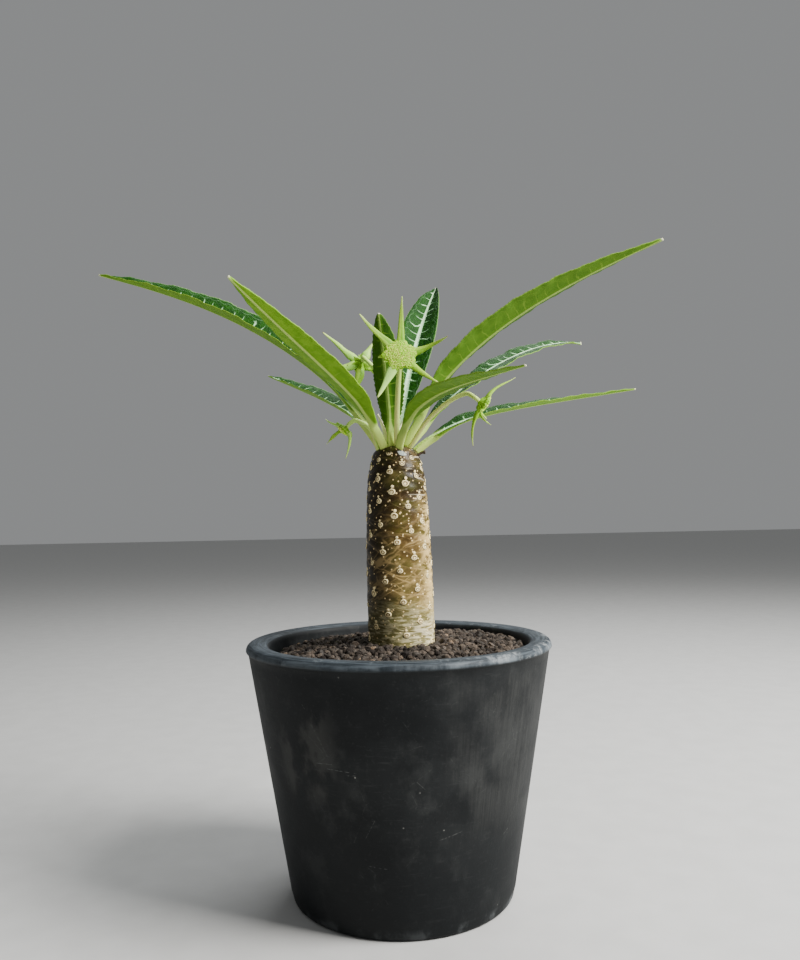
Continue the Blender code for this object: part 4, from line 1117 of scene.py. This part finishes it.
stalk_finish = pale_stalk()
for name, flower in FLOWERS.items():
    path = stalk_path(flower)
    radii = flower["stalk_radius"] * (1.28 - 0.30 * np.linspace(0, 1, len(path)))
    rings, marks = tube(path, radii, STALK_SIDES)
    add_piece(f"flower_{name}_stem", lofted(name, rings, {"along": marks}), [stalk_finish],
              f"flower_{name}_stalk")


# The flower heads: a fleshy star-rimmed disc on a short funnel, its face packed with tiny florets,
# with long curved pointed bracts at the star's corners and small teeth between them.
DISC_CORNER = 1.34
DISC_DOME = 0.0009
DISC_EDGE = 0.0007
DISC_SIDES = 150
FLORET_STEP = 0.00058
FLORET_SIDES = 8
FLORET_CUP = [(1.05, -0.25), (1.0, 0.35), (0.78, 0.9), (0.48, 1.0), (0.16, 0.55)]
BRACT_HALF_WIDTH = 0.00122
BRACT_SIDES = 14
SEPAL_HALF_WIDTH = 0.00042
SEPAL_TRIES = 9
DISC_KIND, FUNNEL_KIND, FLORET_KIND, BRACT_KIND = 1.0, 0.0, 2.0, 3.0


def disc_reach(flower, angle, corners):
    """Radius of the disc's rim: drawn out towards each bract, and toothed in between."""
    apart = np.min([np.abs((angle - c + pi) % (2 * pi) - pi) for c in corners], axis=0)
    star = flower["waist"] + (DISC_CORNER - flower["waist"]) * np.maximum(0, 1 - 1.7 * apart) ** 1.2
    teeth = 0.05 * np.maximum(0, np.sin(angle * 17 + 1)) * step_up(apart, 0.25, 0.4)
    return flower["radius"] * (star + teeth)


def joined(name, skins):
    """One mesh from several skins, each (rings, marks)."""
    whole = bmesh.new()
    for rings, marks in skins:
        part = lofted(name, rings, {"head": marks})
        whole.from_mesh(part)
        bpy.data.meshes.remove(part)
    mesh = bpy.data.meshes.new(name)
    whole.to_mesh(mesh)
    whole.free()
    mesh.shade_smooth()
    return mesh


def bract(path, half_widths, facing, mint=0.0):
    """A pointed bract, flattened, with a shallow groove along its face. Marks: its kind and how mint
    it is, share along, and across."""
    rings, marks = tube(path, half_widths, BRACT_SIDES, flat=0.55, hint=facing)
    groove = np.exp(-((marks[..., 1] / 0.35) ** 2)) * (marks[..., 2] > 0) * 0.30
    rings = rings + (np.asarray(path)[:, None] - rings) * groove[..., None]
    kind = np.full(marks.shape[:2], BRACT_KIND + mint)
    return rings, np.stack([kind, marks[..., 0], marks[..., 1]], axis=2)


def head_skins(flower, seed):
    """The disc with its funnel, the florets, the bracts and the teeth. Marks of the first two: kind,
    share across or down, and random tone."""
    draw = np.random.default_rng(seed)
    centre = np.array(flower["centre"])
    facing = unit(flower["facing"])
    level, up = crosswise(facing)
    radius = flower["radius"]
    tips = [np.array(b) for b in flower["bracts"]]
    corners = [atan2(tip @ up, tip @ level) for tip in tips]
    angles = np.linspace(0, 2 * pi, DISC_SIDES, endpoint=False)
    rim = disc_reach(flower, angles, corners)

    def ring(share, z):
        across = rim * share if share >= 0.3 else np.full(DISC_SIDES, rim.mean() * share)
        return (centre + level * (across * np.cos(angles))[:, None] + up * (across * np.sin(angles))[:, None]
                + facing * z)

    def marks(count, kind, share, tone):
        return np.tile((kind, share, tone), (count, 1))

    neck = 0.95 * flower["stalk_radius"] / rim.mean()
    depth = FUNNEL_DEPTH * radius
    face = [(0.01, DISC_DOME), (0.3, DISC_DOME * 0.9), (0.6, DISC_DOME * 0.62), (0.85, DISC_DOME * 0.25),
            (0.95, 0.00015), (0.995, 0.00005)]
    funnel = [(1.0, -0.00025), (0.985, -DISC_EDGE), (0.80, -0.30 * depth), (0.56, -0.52 * depth),
              (0.36, -0.78 * depth), (neck, -depth), (0.01, -depth)]
    skins = [(np.array([ring(share, z) for share, z in face + funnel]),
              np.array([marks(DISC_SIDES, DISC_KIND, share, 0.5) for share, _ in face]
                       + [marks(DISC_SIDES, FUNNEL_KIND, share, 0.5) for share, _ in funnel]))]

    rows = int(2 * radius / FLORET_STEP)
    turn = np.linspace(0, 2 * pi, FLORET_SIDES, endpoint=False)
    for row in range(-rows, rows + 1):
        for column in range(-rows, rows + 1):
            x = (column + 0.5 * (row % 2) + draw.uniform(-0.16, 0.16)) * FLORET_STEP
            y = (row + draw.uniform(-0.16, 0.16)) * FLORET_STEP * sqrt(3) / 2
            room = float(disc_reach(flower, np.array([atan2(y, x)]), corners)[0]) * 0.95 - hypot(x, y)
            if room < 0.3 * FLORET_STEP:
                continue
            base = DISC_DOME * (1 - (hypot(x, y) / radius) ** 2)
            size = FLORET_STEP * draw.uniform(0.38, 0.52)
            tall = FLORET_STEP * draw.uniform(0.40, 0.90)
            lobes = 1 + 0.14 * np.cos(4 * turn + draw.uniform(0, 6))
            tone = draw.uniform()
            cup = [centre + level * (x + size * r * lobes * np.cos(turn))[:, None]
                   + up * (y + size * r * lobes * np.sin(turn))[:, None] + facing * (base + tall * z)
                   for r, z in FLORET_CUP]
            cup_marks = [marks(FLORET_SIDES, FLORET_KIND, 1 - r, tone) for r, _ in FLORET_CUP]
            skins.append((np.array(cup), np.array(cup_marks)))

    t = np.linspace(0, 1, 26)[:, None]
    for tip, (breadth, mint, hook) in zip(tips, flower["arms"]):
        flat_way = unit(tip - facing * (tip @ facing))
        root = centre + flat_way * 0.50 * radius - facing * DISC_EDGE * 0.7
        bend = root + flat_way * flower["bow"] * np.linalg.norm(tip)
        curl = np.array((0, 0, hook))
        path = (1 - t) ** 2 * root + 2 * t * (1 - t) * bend + t**2 * (centre + tip - curl) + t**5 * curl
        sway = np.cross(flat_way, facing) * draw.uniform(-0.0006, 0.0006)
        sway = sway + facing * draw.uniform(-0.0005, 0.0005)
        path = path + sway * np.sin(pi * t * draw.uniform(1.4, 2.2)) * (1 - t)
        taper = (1 - t[:, 0] ** 1.5) ** 0.9 * 0.78 + 0.09 + 0.28 * np.exp(-(((t[:, 0] - 0.16) / 0.18) ** 2))
        taper *= 1 + 0.07 * np.sin(t[:, 0] * draw.uniform(9, 16) + draw.uniform(0, 6))
        skins.append(bract(path, BRACT_HALF_WIDTH * breadth * taper, facing, mint))
    t = np.linspace(0, 1, 8)[:, None]
    for _ in range(SEPAL_TRIES):
        angle = draw.uniform(0, 2 * pi)
        if min(abs((angle - c + pi) % (2 * pi) - pi) for c in corners) < 0.28:
            continue
        way = level * cos(angle) + up * sin(angle)
        reach = float(disc_reach(flower, np.array([angle]), corners)[0])
        root = centre + way * (reach - 0.0006) - facing * 0.0003
        path = root + way * t * draw.uniform(0.0012, 0.0022) + facing * t**2 * draw.uniform(-0.0003, 0.0008)
        skins.append(bract(path, SEPAL_HALF_WIDTH * (1 - t[:, 0]) ** 0.8 + 0.00004, facing))
    return skins


def fleshy_green():
    """Green funnel, yellow-green florets with dark throats, and bracts that pale to tan tips."""
    petal = Finish("flower head", {"Roughness": 0.5, "Specular IOR Level": 0.18})
    kind, share, tone = petal.mark("head")
    fine = petal.noise(petal.stretched(petal.place(), (900, 900, 900)), 3)
    funnel = petal.mix(fine.rise(0.3, 0.7), (0.16, 0.37, 0.010), (0.27, 0.50, 0.028))
    floret = petal.coats((0.54, 0.95, 0.030), [
        (tone, (0.94, 1.0, 0.22)),
        # Painted shade in the seams between florets.
        (share.fall(0.02, 0.20) * 0.28, (0.22, 0.50, 0.008)),
        (share.rise(0.62, 0.84) * 0.35, (0.24, 0.42, 0.008)),
    ])
    disc = petal.mix(kind.rise(1.4, 1.6), (0.26, 0.52, 0.014), floret)
    arm = petal.coats((0.17, 0.42, 0.010), [
        (share.rise(0.05, 0.80), (0.34, 0.58, 0.035)),
        # Painted light on one half of each bract and painted shade along its other edge.
        (tone.rise(-0.05, 0.25) * 0.6, (0.44, 0.68, 0.07)),
        (tone.fall(-0.95, -0.45) * fine.rise(0.35, 0.6) * 0.45, (0.20, 0.24, 0.020)),
        ((kind - BRACT_KIND) * 0.95, (0.48, 0.80, 0.22)),
        (share.rise(0.72, 0.96) * 0.65, (0.70, 0.82, 0.26)),
        (share.rise(0.95, 1.0) * fine.rise(0.46, 0.56), (0.34, 0.22, 0.10)),
    ])
    petal.feed("Base Color", petal.coats(funnel, [(kind.rise(0.4, 0.6), disc), (kind.rise(2.4, 2.6), arm)]))
    petal.relief(fine, 0.00012)
    return petal


head_finish = fleshy_green()
for seed, (name, flower) in enumerate(FLOWERS.items(), start=40):
    add_piece(f"flower_{name}_disc", joined(name, head_skins(flower, seed)), [head_finish],
              f"flower_{name}_head")


# The dry stub: what is left of a fallen leaf's stalk at the right of the crown. It has shrunk to a
# dark, brittle, slightly bent peg.
STUB_LENGTH = 0.0030
STUB_RADIUS = 0.0007
STUB_SINK = 0.0006
STUB_BEND = 0.0005
STUB_PLACE = (0.0092, -0.0028)
STUB_WAY = (0.90, -0.12, 0.42)


def stub_mesh():
    ahead = unit(STUB_WAY)
    root = np.array((*STUB_PLACE, crown_height(hypot(STUB_PLACE[0] - STEM_TOP_X, STUB_PLACE[1]))))
    root = root + seated(root_rim(root, ahead, STUB_RADIUS, 6), ahead) - ahead * STUB_SINK
    t = np.linspace(0, 1, 14)[:, None]
    path = root + ahead * t * (STUB_LENGTH + STUB_SINK) + crosswise(ahead)[1] * STUB_BEND * np.sin(pi * t)
    radii = STUB_RADIUS * (0.85 + 0.2 * np.sin(9 * t[:, 0]) * t[:, 0] + 0.15 * (t[:, 0] > 0.85))
    return lofted("stub", tube(path, radii, 10)[0])


def dry_brown():
    dry = Finish("dry stub", {"Roughness": 0.85})
    grain = dry.noise(dry.stretched(dry.place(), (900, 900, 900)), 4)
    dry.feed("Base Color", dry.mix(grain.rise(0.3, 0.7), (0.020, 0.013, 0.008), (0.115, 0.075, 0.04)))
    dry.relief(grain, 0.0003)
    return dry


add_piece("dry_stub_end", stub_mesh(), [dry_brown()], "dry_stub")


# The studio: a plain pale floor, soft light from a large window at the upper right and a weaker one
# behind, and the camera where the photograph was taken from.
FLOOR_HALF = 6
ROOM_GREY = (0.485, 0.495, 0.50, 1)
ROOM_STRENGTH = 0.54
# Each light: its place, side, power and tint.
LIGHTS = {
    "window": ((0.68, -0.26, 0.74), 0.46, 27.0, (1.0, 0.985, 0.955)),
    "skylight": ((0.20, 0.50, 0.90), 0.70, 6.0, (0.97, 0.99, 1.0)),
}
LIGHT_AIM = (0, 0, 0.14)
CAMERA_DISTANCE = 0.34097
CAMERA_HEIGHT = 0.14577
CAMERA_LIFT = 0.044
CAMERA_ROLL = -0.020
SENSOR_HEIGHT = 36
PHOTO_WIDTH_PIXELS = 800
PHOTO_HEIGHT_PIXELS = 960
FOCAL_PIXELS = 850
AXIS_PIXEL = 395.5


def pale_floor():
    paint = Finish("pale floor", {"Roughness": 0.8})
    clouds = paint.noise(paint.stretched(paint.place(), (60, 60, 60)), 4)
    paint.feed("Base Color", paint.mix(clouds.rise(0.3, 0.7), (0.50, 0.50, 0.49), (0.53, 0.53, 0.52)))
    return paint


floor_corners = [(x * FLOOR_HALF, y * FLOOR_HALF, 0) for x, y in ((-1, -1), (1, -1), (1, 1), (-1, 1))]
floor_mesh = bpy.data.meshes.new("floor")
floor_mesh.from_pydata(floor_corners, [], [(0, 1, 2, 3)])
floor_mesh.materials.append(pale_floor().material)
floor = bpy.data.objects.new("floor", floor_mesh)
bpy.context.scene.collection.objects.link(floor)

world = bpy.data.worlds.new("soft room")
world.use_nodes = True
world.node_tree.nodes["Background"].inputs["Color"].default_value = ROOM_GREY
world.node_tree.nodes["Background"].inputs["Strength"].default_value = ROOM_STRENGTH
bpy.context.scene.world = world

for name, (place, side, power, tint) in LIGHTS.items():
    lamp = bpy.data.lights.new(name, "AREA")
    lamp.shape = "SQUARE"
    lamp.size = side
    lamp.energy = power
    lamp.color = tint
    light = bpy.data.objects.new(name, lamp)
    light.location = place
    light.rotation_euler = (Vector(LIGHT_AIM) - Vector(place)).to_track_quat("-Z", "Y").to_euler()
    bpy.context.scene.collection.objects.link(light)

lens = bpy.data.cameras.new("camera")
lens.sensor_fit = "VERTICAL"
lens.sensor_height = SENSOR_HEIGHT
lens.lens = FOCAL_PIXELS / PHOTO_HEIGHT_PIXELS * SENSOR_HEIGHT
lens.shift_x = (PHOTO_WIDTH_PIXELS / 2 - AXIS_PIXEL) / PHOTO_HEIGHT_PIXELS
lens.clip_start = 0.01
camera = bpy.data.objects.new("camera", lens)
camera.matrix_world = (Matrix.Translation((0, -CAMERA_DISTANCE, CAMERA_HEIGHT))
                       @ Matrix.Rotation(pi / 2 + CAMERA_LIFT, 4, "X")
                       @ Matrix.Rotation(CAMERA_ROLL, 4, "Z"))
bpy.context.scene.collection.objects.link(camera)
bpy.context.scene.camera = camera
